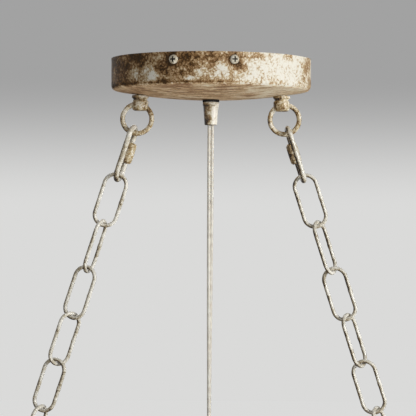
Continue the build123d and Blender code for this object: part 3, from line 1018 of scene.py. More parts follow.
def end_tree(tree: NodeTree, made: Node, material: NodeSocket | None = None) -> NodeTool:
    """Finish a tree.

    Args:
        tree: The tree.
        made: The node with the finished geometry.
        material: The input that holds its material, if the tree sets one.

    Returns:
        The tool that runs the tree.
    """
    if material is not None:
        made = add(tree, "GeometryNodeSetMaterial", {"Geometry": made, "Material": material})
    add(tree, "NodeGroupOutput", {0: made})
    return NodeTool(tree)


def wire_tree() -> NodeTool:
    """A tree for round and oval wire loops: chain links and rings, with a weld bead and a forged unevenness.

    Returns:
        The tool.
    """
    tree, given = start_tree("oval_wire_loops", {
        "Length": ("NodeSocketFloat", 45.6 * MM), "Width": ("NodeSocketFloat", 20.8 * MM),
        "Wire": ("NodeSocketFloat", 3.1 * MM), "Bead": ("NodeSocketFloat", 0.2 * MM),
        "Bead Length": ("NodeSocketFloat", 1.6 * MM), "Uneven": ("NodeSocketFloat", 0.1 * MM),
        "Lump Size": ("NodeSocketFloat", 2.5 * MM), "Points": ("NodeSocketInt", 96),
        "Sides": ("NodeSocketInt", 14), "Material": ("NodeSocketMaterial", None),
    })
    out = given.outputs
    # A circle whose halves move apart makes the oval
    excess = (add(tree, "ShaderNodeMath", {0: out[more], 1: out[less]}, operation="SUBTRACT")
              for more, less in (("Width", "Wire"), ("Length", "Width")))
    bend, rise = (add(tree, "ShaderNodeMath", {0: both, 1: 0.5}, operation="MULTIPLY") for both in excess)
    circle = add(tree, "GeometryNodeCurvePrimitiveCircle", {"Resolution": 64, "Radius": bend})
    half_step = add(tree, "GeometryNodeTransform", {"Geometry": circle, "Rotation": (0.0, 0.0, math.pi / 64)})
    here = add(tree, "ShaderNodeSeparateXYZ", {0: add(tree, "GeometryNodeInputPosition")})
    end = add(tree, "ShaderNodeMath", {0: here.outputs["Y"]}, operation="SIGN")
    lift = add(tree, "ShaderNodeMath", {0: end, 1: rise}, operation="MULTIPLY")
    oval = add(tree, "GeometryNodeSetPosition", {"Geometry": half_step,
                                                "Offset": add(tree, "ShaderNodeCombineXYZ", {"Y": lift})})
    even = add(tree, "GeometryNodeResampleCurve", {"Curve": oval, "Count": out["Points"]})
    half_wire = add(tree, "ShaderNodeMath", {0: out["Wire"], 1: 0.5}, operation="MULTIPLY")
    section = add(tree, "GeometryNodeCurvePrimitiveCircle", {"Resolution": out["Sides"], "Radius": half_wire})
    wire = add(tree, "GeometryNodeCurveToMesh", {"Curve": even, "Profile Curve": section})
    # The bead swells one side's middle
    there = add(tree, "ShaderNodeSeparateXYZ", {0: add(tree, "GeometryNodeInputPosition")}).outputs
    reach = add(tree, "ShaderNodeMath", {0: there["Y"], 1: out["Bead Length"]}, operation="DIVIDE")
    square = add(tree, "ShaderNodeMath", {0: reach, 1: reach}, operation="MULTIPLY")
    away = add(tree, "ShaderNodeMath", {0: square, 1: -1.0}, operation="MULTIPLY")
    fall = add(tree, "ShaderNodeMath", {0: math.e, 1: away}, operation="POWER")
    one_rod = add(tree, "ShaderNodeMath", {0: there["X"], 1: 0.0}, operation="GREATER_THAN")
    size = add(tree, "ShaderNodeMath", {0: fall, 1: out["Bead"]}, operation="MULTIPLY")
    bead = add(tree, "ShaderNodeMath", {0: size, 1: one_rod}, operation="MULTIPLY")
    swell = add(tree, "ShaderNodeVectorMath", {0: add(tree, "GeometryNodeInputNormal"), "Scale": bead},
                operation="SCALE")
    real = spread(tree, given, add(tree, "GeometryNodeSetPosition", {"Geometry": wire, "Offset": swell}))
    # The unevenness runs on from one copy to the next
    scale = add(tree, "ShaderNodeMath", {0: 1.0, 1: out["Lump Size"]}, operation="DIVIDE")
    lumps = add(tree, "ShaderNodeTexNoise", {"Vector": add(tree, "GeometryNodeInputPosition"), "Scale": scale,
                                            "Detail": 2.0})
    centred = add(tree, "ShaderNodeMath", {0: lumps, 1: 2.0, 2: -1.0}, operation="MULTIPLY_ADD")
    push = add(tree, "ShaderNodeMath", {0: centred, 1: out["Uneven"]}, operation="MULTIPLY")
    bump = add(tree, "ShaderNodeVectorMath", {0: add(tree, "GeometryNodeInputNormal"), "Scale": push},
               operation="SCALE")
    lumpy = add(tree, "GeometryNodeSetPosition", {"Geometry": real, "Offset": bump})
    return end_tree(tree, lumpy, out["Material"])


def rivet_tree() -> NodeTool:
    """A tree for domed rivet heads, half sunk at each spot and facing along the spot's Z.

    Returns:
        The tool.
    """
    tree, given = start_tree("rivet_heads", {
        "Head Width": ("NodeSocketFloat", 5.0 * MM), "Head Height": ("NodeSocketFloat", 1.4 * MM),
        "Material": ("NodeSocketMaterial", None),
    })
    out = given.outputs
    half = add(tree, "ShaderNodeMath", {0: out["Head Width"], 1: 0.5}, operation="MULTIPLY")
    squash = add(tree, "ShaderNodeMath", {0: out["Head Height"], 1: half}, operation="DIVIDE")
    ball = add(tree, "GeometryNodeMeshUVSphere", {"Segments": 16, "Rings": 8, "Radius": half})
    flat = add(tree, "ShaderNodeCombineXYZ", {"X": 1.0, "Y": 1.0, "Z": squash})
    head = add(tree, "GeometryNodeTransform", {"Geometry": ball, "Scale": flat})
    return end_tree(tree, spread(tree, given, head), out["Material"])


def copy_tree() -> NodeTool:
    """A tree that sets copies of one modelled shape on the spots, with the shape's own finishes.

    Returns:
        The tool.
    """
    tree, given = start_tree("copies_of_a_shape", {"Shape": ("NodeSocketObject", None)})
    source = add(tree, "GeometryNodeObjectInfo", {"Object": given.outputs["Shape"]})
    return end_tree(tree, spread(tree, given, source.outputs["Geometry"]))


@dataclass
class Workshop:
    """The finishes and the node tools that every sub-assembly shares."""

    paint: Paintbox = field(default_factory=Paintbox)
    wire: NodeTool = field(default_factory=wire_tree)
    rivets: NodeTool = field(default_factory=rivet_tree)
    copier: NodeTool = field(default_factory=copy_tree)

    def copies(self, name: str, mesh: Mesh, spots: Sequence[Spot], merge: bool = True) -> Mesh:
        """Copies of a mesh on spots, as one plain mesh.

        Args:
            name: The result's name.
            mesh: The shape, at the origin.
            spots: Where the copies go.
            merge: Whether doubles are merged and faces turned outwards.

        Returns:
            The plain mesh with the shape's finishes.
        """
        source = put(name + "_shape", mesh)
        made = self.copier.grow(name, spots, {"Shape": source}, merge)
        bpy.data.objects.remove(source)
        return made


# ---------------------------------------------------------------- canopy


@dataclass
class CordGrip:
    """A tapered cord grip with a grooved shoulder, upright or turned over; sizes in millimetres."""

    node: str
    turned_over: bool = False
    top: float = 6.7
    end: float = 5.1
    shoulder: float = 3.0
    bore: float = 2.8

    def mesh(self) -> Mesh:
        """Turn the grip.

        Returns:
            Its mesh, in the node's place.
        """
        low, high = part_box(self.node)
        height = (high[2] - low[2]) / MM
        taper = zip(span(self.end, self.top - 0.55, 4), span(0.9, height - self.shoulder - 0.5, 4))
        outline = [(self.bore, 0), (self.end - 0.7, 0), (self.end - 0.15, 0.3), *taper,
                   (self.top - 0.5, height - self.shoulder), (self.top - 0.1, height - 2.6),
                   (self.top, height - 2.0), (self.top, height - 0.7), (self.top - 0.4, height),
                   (self.bore, height)]
        if self.turned_over:
            outline = [(radius, height - level) for radius, level in outline][::-1]
        return turned(profile(self.node, outline), 48, True)


@dataclass
class Canopy:
    """The pressed canopy with its screws, studs, washer and cord grip."""

    shop: Workshop
    radius: float = 80.0 * MM
    depth: float = 32.0 * MM
    dome_radius: float = 436.0 * MM
    corner: float = 4.0 * MM
    sheet: float = 1.2 * MM
    uneven: float = 0.12 * MM
    uneven_heights: tuple[float, float] = (-26 * MM, -0.5 * MM)
    cord_hole: float = 5.0 * MM
    stud_hole: float = 3.2 * MM
    stud_x: float = 56.7 * MM
    eye_z: float = -36.3 * MM
    barrel: float = 6.7 * MM
    barrel_drop: float = 5.0 * MM
    barrel_rise: float = 3.3 * MM
    barrel_round: float = 3.0 * MM
    neck: float = 5.7 * MM
    collar: float = 6.9 * MM
    collar_height: float = 2.2 * MM
    stud_thread: float = 3.0 * MM
    stud_tail: float = 14.0 * MM
    ring_hole: float = 2.85 * MM
    ring_bend: float = 11.7 * MM
    screw_head: float = 3.5 * MM
    screw_head_height: float = 2.4 * MM
    screw_length: float = 9.0 * MM
    screw_z: float = -6.0 * MM
    screw_shank: float = 1.75 * MM
    screw_azimuths: tuple[float, float] = (-20.9, 12.7)

    def dome_z(self, radius: float) -> float:
        """Height of the domed bottom at a radius."""
        return self.dome_radius - self.depth - math.sqrt(self.dome_radius**2 - radius**2)

    def dish(self, inset: float) -> list[tuple[float, float]]:
        """The dish's outline, drawn in by an inset.

        Args:
            inset: How far it lies inside the outer face.

        Returns:
            Radius and height from the axis to the open edge.
        """
        radius, corner, dome = self.radius - inset, self.corner - inset, self.dome_radius - inset
        centre_z = self.dome_radius - self.depth
        corner_x = radius - corner
        corner_z = centre_z - math.sqrt((dome - corner) ** 2 - corner_x**2)
        lean = math.atan2(corner_x, centre_z - corner_z)
        outline = [(dome * math.sin(turn), centre_z - dome * math.cos(turn)) for turn in span(0, lean, 14)]
        outline += [(corner_x + corner * math.sin(turn), corner_z - corner * math.cos(turn))
                    for turn in span(lean, math.pi / 2, 8)[1:]]
        return outline + [(radius, corner_z * (1 - share)) for share in span(0, 1, 8)[1:]]

    def screw_spots(self, back: bool) -> list[Spot]:
        """Where the side screws stand, facing out of the wall.

        Args:
            back: Whether the back pair is wanted and not the front one.

        Returns:
            One spot for each screw.
        """
        spots = []
        for azimuth in self.screw_azimuths:
            angle = math.radians(azimuth + (180 if back else 0))
            out = Vector((math.sin(angle), -math.cos(angle), 0))
            spots.append(Spot(out * (self.radius + 0.05 * MM) + UP * self.screw_z,
                              Matrix((UP, out.cross(UP), out)).transposed()))
        return spots

    def build_shell(self) -> None:
        """Press the shell, cut its holes, dent it slightly and paint it."""
        mesh = turned(self.dish(0.0) + self.dish(self.sheet)[::-1], 160)
        cutters = [shifted(rod(radius, -50 * MM, -20 * MM), x) for radius, x in (
            (self.stud_hole, -self.stud_x), (self.stud_hole, self.stud_x), (self.cord_hole, 0.0))]
        for spot in self.screw_spots(False) + self.screw_spots(True):
            cutters.append(placed(rod(self.screw_shank + 0.3 * MM, -6 * MM, 6 * MM, 20), spot.matrix))
        mesh = without(mesh, joined(cutters))
        lowest, highest = self.uneven_heights
        for vertex in mesh.vertices:
            place = Vector(vertex.co)
            wave = noise.noise(place * 90) * self.uneven + noise.noise(place * 30) * self.uneven
            if lowest < place.z < highest:
                vertex.co = place + Vector((place.x, place.y, 0)).normalized() * (wave - self.uneven)
        settle("canopy_dish", mesh, self.shop.paint.canopy, "root", "canopy_paint", "canopy_shell", angle=40)

    def screw(self) -> Mesh:
        """A pan head screw with a dark cross recess, its head standing on the XY plane.

        Returns:
            Its mesh, with both finishes.
        """
        head, height, shank = self.screw_head, self.screw_head_height, self.screw_shank
        dome = ((1.0, 0.35), (0.94, 0.62), (0.8, 0.84), (0.55, 0.96), (0, 1))
        outline = [(0, -self.screw_length), (shank * 0.8, -self.screw_length),
                   (shank, -self.screw_length + 0.4 * MM), (shank, 0), (head, 0),
                   *((head * wide, height * high) for wide, high in dome)]
        body = painted(turned(outline, 32), self.shop.paint.screw)
        arm, half = head * 0.62, head * 0.16
        # The recess's faces take the near-black finish: painted shade
        for x, y in ((arm, half), (half, arm)):
            wing = block((-x, -y, height * 0.35), (x, y, height * 1.5))
            body = without(body, painted(wing, self.shop.paint.recess))
        return body

    def build_screws(self) -> None:
        """Set the four side screws, two at the front and two at the back."""
        for back, word in ((False, "front"), (True, "back")):
            mesh = self.shop.copies(f"{word}_pan_screws", self.screw(), self.screw_spots(back))
            settle(f"{word}_pan_screws", mesh, None, "root", "screw_paint", f"{word}_side_screws", angle=32)

    def stud_outline(self) -> list[tuple[float, float]]:
        """A stud's outline: a rounded barrel, a neck, a collar under the canopy and a threaded tail.

        Returns:
            Radius and height above its eye.
        """
        barrel, rise, neck, collar = self.barrel, self.barrel_rise, self.neck, self.collar
        corner = barrel - self.barrel_round
        seat = self.dome_z(self.stud_x) - self.collar_height - self.eye_z
        top = self.dome_z(self.stud_x) + self.stud_tail - self.eye_z
        return [(0, -self.barrel_drop - 0.1 * MM), (corner * 0.6, -self.barrel_drop - 0.05 * MM),
                *((corner + self.barrel_round * math.sin(turn),
                   self.barrel_round * (1 - math.cos(turn)) - self.barrel_drop)
                  for turn in span(0, math.pi / 2, 8)),
                (barrel, rise - 1.6 * MM), (barrel * 0.97, rise - 0.8 * MM), (neck * 1.03, rise - 0.1 * MM),
                (neck * 0.97, rise + 0.3 * MM), (neck * 0.97, seat - 1.6 * MM),
                (neck * 1.04, seat - 1.1 * MM), (collar * 0.93, seat - 0.45 * MM), (collar, seat),
                (collar, seat + 0.9 * MM), (collar * 0.97, seat + 1.5 * MM),
                (self.stud_thread, seat + 1.5 * MM), (self.stud_thread, top), (0, top)]

    def build_studs(self) -> None:
        """Turn the two hang studs and drill their curved ring holes."""
        for side in Side:
            x = side.value * self.stud_x
            ring = middle(f"hang_ring_{side.word}") - Vector((x, 0, self.eye_z))
            bend = self.ring_bend
            loop = [Vector((ring.x + bend * math.cos(turn), 0, ring.z + bend * math.sin(turn)))
                    for turn in turns(60)]
            mesh = without(turned(self.stud_outline()), tube(loop, self.ring_hole, 16, True))
            mesh = shifted(eased(mesh, 0.25 * MM, 2, 50), x, self.eye_z)
            settle(f"turned_stud_{side.word}", mesh, self.shop.paint.turned, "root", "chain_paint",
                   f"hang_stud_{side.word}", angle=40)

    def build_grip(self) -> None:
        """Turn the black washer and the tapered cord grip under the canopy."""
        node = "grip_washer"
        outline = profile(node, ((4.95, 0), (6.5, 0), (6.7, 0.3)), ((6.7, -0.3), (6.5, 0), (4.95, 0)))
        settle("fibre_washer", turned(outline, 48, True), self.shop.paint.fibre, "root", "fibre_washer", node)
        grip = CordGrip("upper_cord_grip")
        settle("ceiling_cord_grip", grip.mesh(), self.shop.paint.grip, "root", "chain_paint", grip.node)

    def build(self) -> None:
        """Build and dress everything that is fixed to the ceiling."""
        self.build_shell()
        self.build_screws()
        self.build_studs()
        self.build_grip()
        dress(self.shop.paint.zinc, "mounting_plate", "stud_nuts", "nipple_nut", "cord_nipple")
        dress(self.shop.paint.green, "ground_screw")
        dress(self.shop.paint.cord, "lead_wires")
        dress(self.shop.paint.wire_nut, "wire_nuts")


# ---------------------------------------------------------------- chains


@dataclass
class Chain:
    """One splayed chain: its ring, screw links, sleeves, six welded links and the eye bolt it ends in."""

    shop: Workshop
    side: Side
    angle: float = math.radians(17.9)
    link_length: float = 45.6 * MM
    link_width: float = 20.8 * MM
    link_wire: float = 3.1 * MM
    ring_size: float = 27.4 * MM
    ring_wire: float = 4.0 * MM
    screw_length: float = 48.2 * MM
    screw_width: float = 19.1 * MM
    screw_wire: float = 4.3 * MM
    screw_twists: tuple[float, float] = (76.5, 92.5)
    gate_gap: float = 6.0 * MM
    gate_from_end: float = 15.2 * MM
    sleeve_width: float = 8.8 * MM
    sleeve_play: float = 0.5 * MM
    sleeve_length: float = 17.0 * MM
    left_twists: tuple[float, ...] = (0.0, 70.0, -24.0, 38.0, -21.5, 60.0)
    right_twists: tuple[float, ...] = (0.0, 60.0, -5.0, 55.5, -4.0, 60.0)
    upper_top: float = 5.1 * MM
    lower_top: float = 279.0 * MM
    eye_wire: float = 4.5 * MM
    eye_hole: float = 10.0 * MM

    def down(self) -> Vector:
        """The direction in which the chain runs down."""
        return Vector((self.side.value * math.sin(self.angle), 0, -math.cos(self.angle)))

    def turn(self, twist: float) -> Matrix:
        """The turn of a link: its X across the rods, its Y up the chain.

        Args:
            twist: Its turn about its own length, in degrees.

        Returns:
            A rotation.
        """
        across = Vector((math.cos(self.angle), 0, self.side.value * math.sin(self.angle)))
        wide = across * math.cos(math.radians(twist)) + Vector((0, 1, 0)) * math.sin(math.radians(twist))
        up = -self.down()
        return Matrix((wide, up, wide.cross(up))).transposed()

    def build_ring(self) -> None:
        """Bend the ring that hangs in the stud."""
        word = self.side.word
        spot = Spot(middle(f"hang_ring_{word}"), Matrix.Rotation(math.pi / 2, 3, "X"))
        mesh = self.shop.wire.grow(f"round_ring_{word}", [spot], {
            "Length": self.ring_size, "Width": self.ring_size, "Wire": self.ring_wire, "Bead": 0.0,
            "Uneven": 0.12 * MM, "Points": 96, "Sides": 18, "Material": self.shop.paint.turned,
        })
        settle(f"round_ring_{word}", mesh, None, "fixture", "chain_paint", f"hang_ring_{word}")

    def build_links(self) -> None:
        """Bend and weld the six links as one run."""
        word = self.side.word
        twists = self.left_twists if self.side is Side.LEFT else self.right_twists
        nodes = [f"chain_link_{word}_{number}" for number in range(1, len(twists) + 1)]
        spots = [Spot(middle(node), self.turn(twist)) for node, twist in zip(nodes, twists)]
        mesh = self.shop.wire.grow(f"oval_links_{word}", spots, {
            "Length": self.link_length, "Width": self.link_width, "Wire": self.link_wire,
            "Bead": 0.22 * MM, "Uneven": 0.13 * MM, "Points": 104, "Sides": 14,
            "Material": self.shop.paint.metalwork,
        })
        settle(f"oval_links_{word}", mesh, None, "fixture", "chain_paint", *nodes)

    def screw_link_path(self) -> list[Vector]:
        """The middle line of a screw link.

        Returns:
            Its points from one end of the gate round to the other.
        """
        bend = (self.screw_width - self.screw_wire) / 2
        rise = (self.screw_length - self.screw_width) / 2
        high = self.screw_length / 2 - self.gate_from_end
        low = high - self.gate_gap
        path = [(bend, high + (rise - high) * share) for share in (0.0, 0.35, 0.7)]
        path += [(bend * math.cos(turn), rise + bend * math.sin(turn)) for turn in span(0, math.pi, 20)]
        path += [(-bend, rise * (1 - 2 * share)) for share in (0.2, 0.4, 0.6, 0.8)]
        path += [(-bend * math.cos(turn), -rise - bend * math.sin(turn)) for turn in span(0, math.pi, 20)]
        path += [(bend, -rise + (low + rise) * share) for share in (0.3, 0.65, 1.0)]
        return [Vector((x, y, 0)) for x, y in path]

    def sleeve(self) -> Mesh:
        """The long barrel nut of a gate: six flats, with its ends turned down to round shoulders.

        Returns:
            A closed mesh about the origin.
        """
        half = self.sleeve_length / 2
        bore = self.screw_wire / 2 + self.sleeve_play
        shoulders = ((0.74, 1.0), (0.82, 0.93), (1.0, 0.84), (1.04, 0.5))
        lower = [(width, -place) for width, place in shoulders]
        levels = [(0, -1.0), *lower, (1.05, 0.0), *shoulders[::-1], (0, 1.0)]
        rings = []
        for width, place in levels:
            reaches = [(turn, self.sleeve_width / 2 * (0.35 * math.cos(math.pi / 6) * six_flats(turn) + 0.65))
                       for turn in turns(36)]
            rings.append([((width * across or bore) * math.cos(turn), place * half,
                           (width * across or bore) * math.sin(turn)) for turn, across in reaches])
        return loft(rings, looped=True)

    def build_screw_links(self) -> None:
        """Bend both screw links and set their sleeves."""
        twist_above = self.screw_twists[0 if self.side is Side.LEFT else 1]
        for level, top, twist in ((Level.UPPER, self.upper_top, twist_above),
                                  (Level.LOWER, self.lower_top, 0.0)):
            name = f"{level.value}_{self.side.word}"
            centre = middle(f"hang_ring_{self.side.word}") + self.down() * (top + self.screw_length / 2)
            mesh = tube(self.screw_link_path(), self.screw_wire / 2, 16)
            mesh = roughened(placed(mesh, Spot(centre, self.turn(twist)).matrix))
            settle(f"gated_link_{name}", mesh, self.shop.paint.metalwork, "fixture", "chain_paint",
                   f"screw_link_{name}")
            node = f"gate_sleeve_{name}"
            mesh = placed(self.sleeve(), Spot(middle(node), self.turn(twist)).matrix)
            settle(f"barrel_nut_{name}", mesh, self.shop.paint.turned, node, "chain_paint", node)

    def build_eye(self) -> None:
        """Bend the eye and thread it down through the cage's bar."""
        node = f"eye_bolt_{self.side.word}"
        x = middle(node).x
        bend = (self.eye_hole + self.eye_wire) / 2
        centre_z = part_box(node)[1][2] - self.eye_wire - self.eye_hole / 2
        loop = [Vector((x, bend * math.cos(turn), centre_z + bend * math.sin(turn))) for turn in turns(56)]
        eye = roughened(tube(loop, self.eye_wire / 2, 16, True))
        outline = profile(node, ((0, 0), (2.6, 0), (3.0, 0.6)), (
            (3.0, -21), (6.2, -21), (6.5, -20.6), (6.2, -20), (3.6, -18.6), (2.6, -17.8), (0, -17.6)))
        mesh = joined([eye, shifted(turned(outline, 36), x)])
        settle(f"forged_eye_{self.side.word}", mesh, self.shop.paint.metalwork, "fixture", "chain_paint",
               node)

    def build(self) -> None:
        """Build the whole chain."""
        self.build_ring()
        self.build_screw_links()
        self.build_links()
        self.build_eye()


# ---------------------------------------------------------------- cord


@dataclass
class TwinCord:
    """The flat twin cord, pulled straight between its two grips and turning slowly on its way."""

    shop: Workshop
    width: float = 5.2 * MM
    thickness: float = 2.7 * MM
    exit_z: float = -52.4 * MM
    length: float = 330.9 * MM
    heights: tuple[float, ...] = (-0.0240, -0.0524, -0.1250, -0.2000, -0.2750, -0.3489, -0.3549)
    half_turns: float = 0.5
    bend_end: float = -0.34

    def line(self) -> list[Vector]:
        """The points of the cord's smooth line.

        Returns:
            Points read from its NURBS spline, from the canopy down.
        """
        curve = bpy.data.curves.new("cord_line", "CURVE")
        curve.dimensions = "3D"
        curve.resolution_u = 24
        spline = curve.splines.new("NURBS")
        spline.points.add(len(self.heights) - 1)
        for point, height in zip(spline.points, self.heights):
            point.co = (0.0, 0.0, height, 1.0)
        spline.order_u = 3
        spline.use_endpoint_u = True
        return [Vector(vertex.co) for vertex in evaluated(put("cord_line", curve)).vertices]

    def section(self) -> list[tuple[float, float]]:
        """The cord's section: two round leads joined by a web, with a groove on each face.

        Returns:
            Its points, across and through the cord.
        """
        radius = self.thickness / 2
        centre = self.width / 2 - radius
        return [(end * (centre + radius * math.cos(turn)), end * radius * math.sin(turn))
                for end in (1, -1) for turn in span(math.radians(-160), math.radians(160), 12)]

    def build(self) -> None:
        line = self.line()
        rings = []
        for place in line:
            share = (line[0].z - place.z) / (line[0].z - line[-1].z)
            turn = math.pi * self.half_turns * (3 * share**2 - 2 * share**3)
            rings.append([(place.x + x * math.cos(turn) - y * math.sin(turn),
                           place.y + x * math.sin(turn) + y * math.cos(turn), place.z)
                          for x, y in self.section()])
        made = piece("flat_twin_cord", loft(rings), self.shop.paint.cord, 60)
        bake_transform(made)
        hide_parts("power_cord")
        LOG.info("flat_twin_cord: %.1f mm of cord", self.length / MM)


# ---------------------------------------------------------------- cage


@dataclass
class Cage:
    """The oval cage: two bands, a bar across, eight straps, the stem, the hub and its finial."""

    shop: Workshop
    half_length: float = 200.0 * MM
    half_width: float = 120.0 * MM
    band_sheet: float = 3.0 * MM
    seat: float = 3.05 * MM
    strap_sheet: float = 2.5 * MM
    strap_width: float = 16.0 * MM
    straps: int = 8
    edge: float = 0.9 * MM
    nut_height: float = 4.0 * MM
    bands: tuple[str, str] = ("top_band", "bottom_band")

    def fit(self, name: str, mesh: Mesh, *nodes: str, angle: float = 35.0) -> None:
        """Paint one of the cage's pieces and let it stand for its nodes.

        Args:
            name: The piece's name.
            mesh: Its mesh.
            nodes: The CAD nodes that it stands for.
            angle: The angle in degrees above which an edge stays sharp.
        """
        settle(name, mesh, self.shop.paint.cage, "fixture", "cage_paint", *nodes, angle=angle)

    def oval(self, inset: float, turn: float) -> Vector:
        """A point of the oval that lies an inset inside the cage's outline."""
        x, y = self.half_length - inset, self.half_width - inset
        return Vector((x * math.cos(turn), y * math.sin(turn), 0))

    def build_bands(self) -> None:
        """Roll the two bands, with eased edges."""
        edge, sheet = self.edge, self.band_sheet
        for node in self.bands:
            low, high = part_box(node)
            corners = ((edge, low[2] + edge, 180), (sheet - edge, low[2] + edge, 270),
                       (sheet - edge, high[2] - edge, 0), (edge, high[2] - edge, 90))
            section = [(inset + edge * math.cos(turn), level + edge * math.sin(turn))
                       for inset, level, start in corners
                       for turn in map(math.radians, span(start, start + 90, 3))]
            rings = [[self.oval(inset, turn) + UP * level for inset, level in section] for turn in turns(192)]
            self.fit(f"rolled_{node}", loft(rings, looped=True), node, angle=50)

    def outline_at(self, inset: float, turn: float, along: Vector, reach: float) -> Vector:
        """The point of an inset oval that lies a reach along a strap's width.

        Args:
            inset: The oval's inset.
            turn: The strap's turn round the oval.
            along: The direction of the strap's width.
            reach: The distance from the strap's middle.

        Returns:
            The point, at height zero.
        """
        guess = turn
        for _ in range(12):
            slope = self.oval(inset, guess + math.pi / 2)
            guess -= ((self.oval(inset, guess) - self.oval(0, turn)).dot(along) - reach) / slope.dot(along)
        return self.oval(inset, guess)

    def build_straps(self) -> None:
        """Bend the eight straps to the bands and rivet them."""
        low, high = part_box("cage_straps")
        reaches = span(-self.strap_width / 2, self.strap_width / 2, 6)
        meshes, spots = [], []
        for number in range(self.straps):
            turn = 2 * math.pi * (number + 0.5) / self.straps
            along = self.oval(0, turn + math.pi / 2).normalized()
            out = along.cross(UP)
            section = [self.outline_at(inset, turn, along, reach) for inset, row in (
                (self.seat, reaches), (self.seat + self.strap_sheet, reaches[::-1])) for reach in row]
            rings = [[point + UP * level for point in section] for level in span(low[2], high[2], 8)]
            meshes.append(eased(loft(rings), 0.4 * MM, 2, 50))
            for node in self.bands:
                foot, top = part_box(node)
                spots += [Spot(self.oval(0, turn) + UP * (foot[2] + (top[2] - foot[2]) * share),
                               Matrix((along, UP, out)).transposed()) for share in (0.27, 0.73)]
        self.fit("upright_straps", joined(meshes), "cage_straps", angle=50)
        mesh = self.shop.rivets.grow("strap_rivets", spots, {"Material": self.shop.paint.cage})
        self.fit("strap_rivets", mesh)

    def build_stem(self) -> None:
        """Set the lower grip, the stem and the nuts."""
        grip = CordGrip("lower_cord_grip", turned_over=True)
        settle("cage_cord_grip", grip.mesh(), self.shop.paint.grip, "fixture", "chain_paint", grip.node)
        low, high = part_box("center_stem")
        outline = profile("center_stem", ((3.5, 0), (5.0, 0)), ((4.7, 0), (3.5, 0)))
        outline[2:2] = [(5.0 * MM, level) for level in span(low[2], high[2], 12)[1:-1]]
        self.fit("drawn_stem", turned(outline, 40, True), "center_stem")
        low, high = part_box("stem_nuts")
        on_stem = [(0.0, low[2], low[2] + self.nut_height), (0.0, high[2] - self.nut_height, high[2])]
        low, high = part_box("eye_nuts")
        on_eyes = [(middle(f"eye_bolt_{side.word}").x, low[2], high[2]) for side in Side]
        for name, node, places, across, bore in (("stem_jam_nuts", "stem_nuts", on_stem, 16 * MM, 5.05 * MM),
                                                 ("eye_jam_nuts", "eye_nuts", on_eyes, 10 * MM, 3.05 * MM)):
            nuts = [shifted(without(hexagon(across, foot, top), rod(bore, foot - 1 * MM, top + 1 * MM)), x)
                    for x, foot, top in places]
            self.fit(name, joined(nuts), node, angle=25)

    def build_hub(self) -> None:
        """Turn the hub, its cover and its finial."""
        outline = profile("wiring_hub", ((0, 0), (17.6, 0), (18, 0.4)),
                          ((18, -4.4), (17.7, -3.8), (14.4, -0.5), (13.7, 0), (5.05, 0)),
                          ((5.05, 10), (0, 10)))
        self.fit("turned_hub", turned(outline, 64), "wiring_hub")
        outline = profile("hub_cap", ((0, 0), (15.8, 0), (17.2, 0.5), (18, 1.4)),
                          ((18, -0.3), (17.7, 0), (0, 0)))
        self.fit("turned_hub_cover", turned(outline, 64), "hub_cap")
        low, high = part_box("finial")
        shares = ((0, 0), (0.1, 0.01), (0.3, 0.12), (0.62, 0.27), (0.9, 0.42), (1.0, 0.55), (0.93, 0.66),
                  (0.68, 0.75), (0.46, 0.8), (0.42, 0.84), (0.6, 0.88), (0.62, 0.93), (0.5, 0.97), (0.5, 1.0),
                  (0, 1.0))
        outline = [(8 * MM * wide, low[2] + (high[2] - low[2]) * share) for wide, share in shares]
        self.fit("turned_finial", turned(outline, 40), "finial", angle=60)

    def build(self) -> None:
        """Build the whole cage."""
        self.build_bands()
        self.build_straps()
        self.build_stem()
        self.build_hub()
        dress(self.shop.paint.cage, "cage_bar")


# ---------------------------------------------------------------- lamps


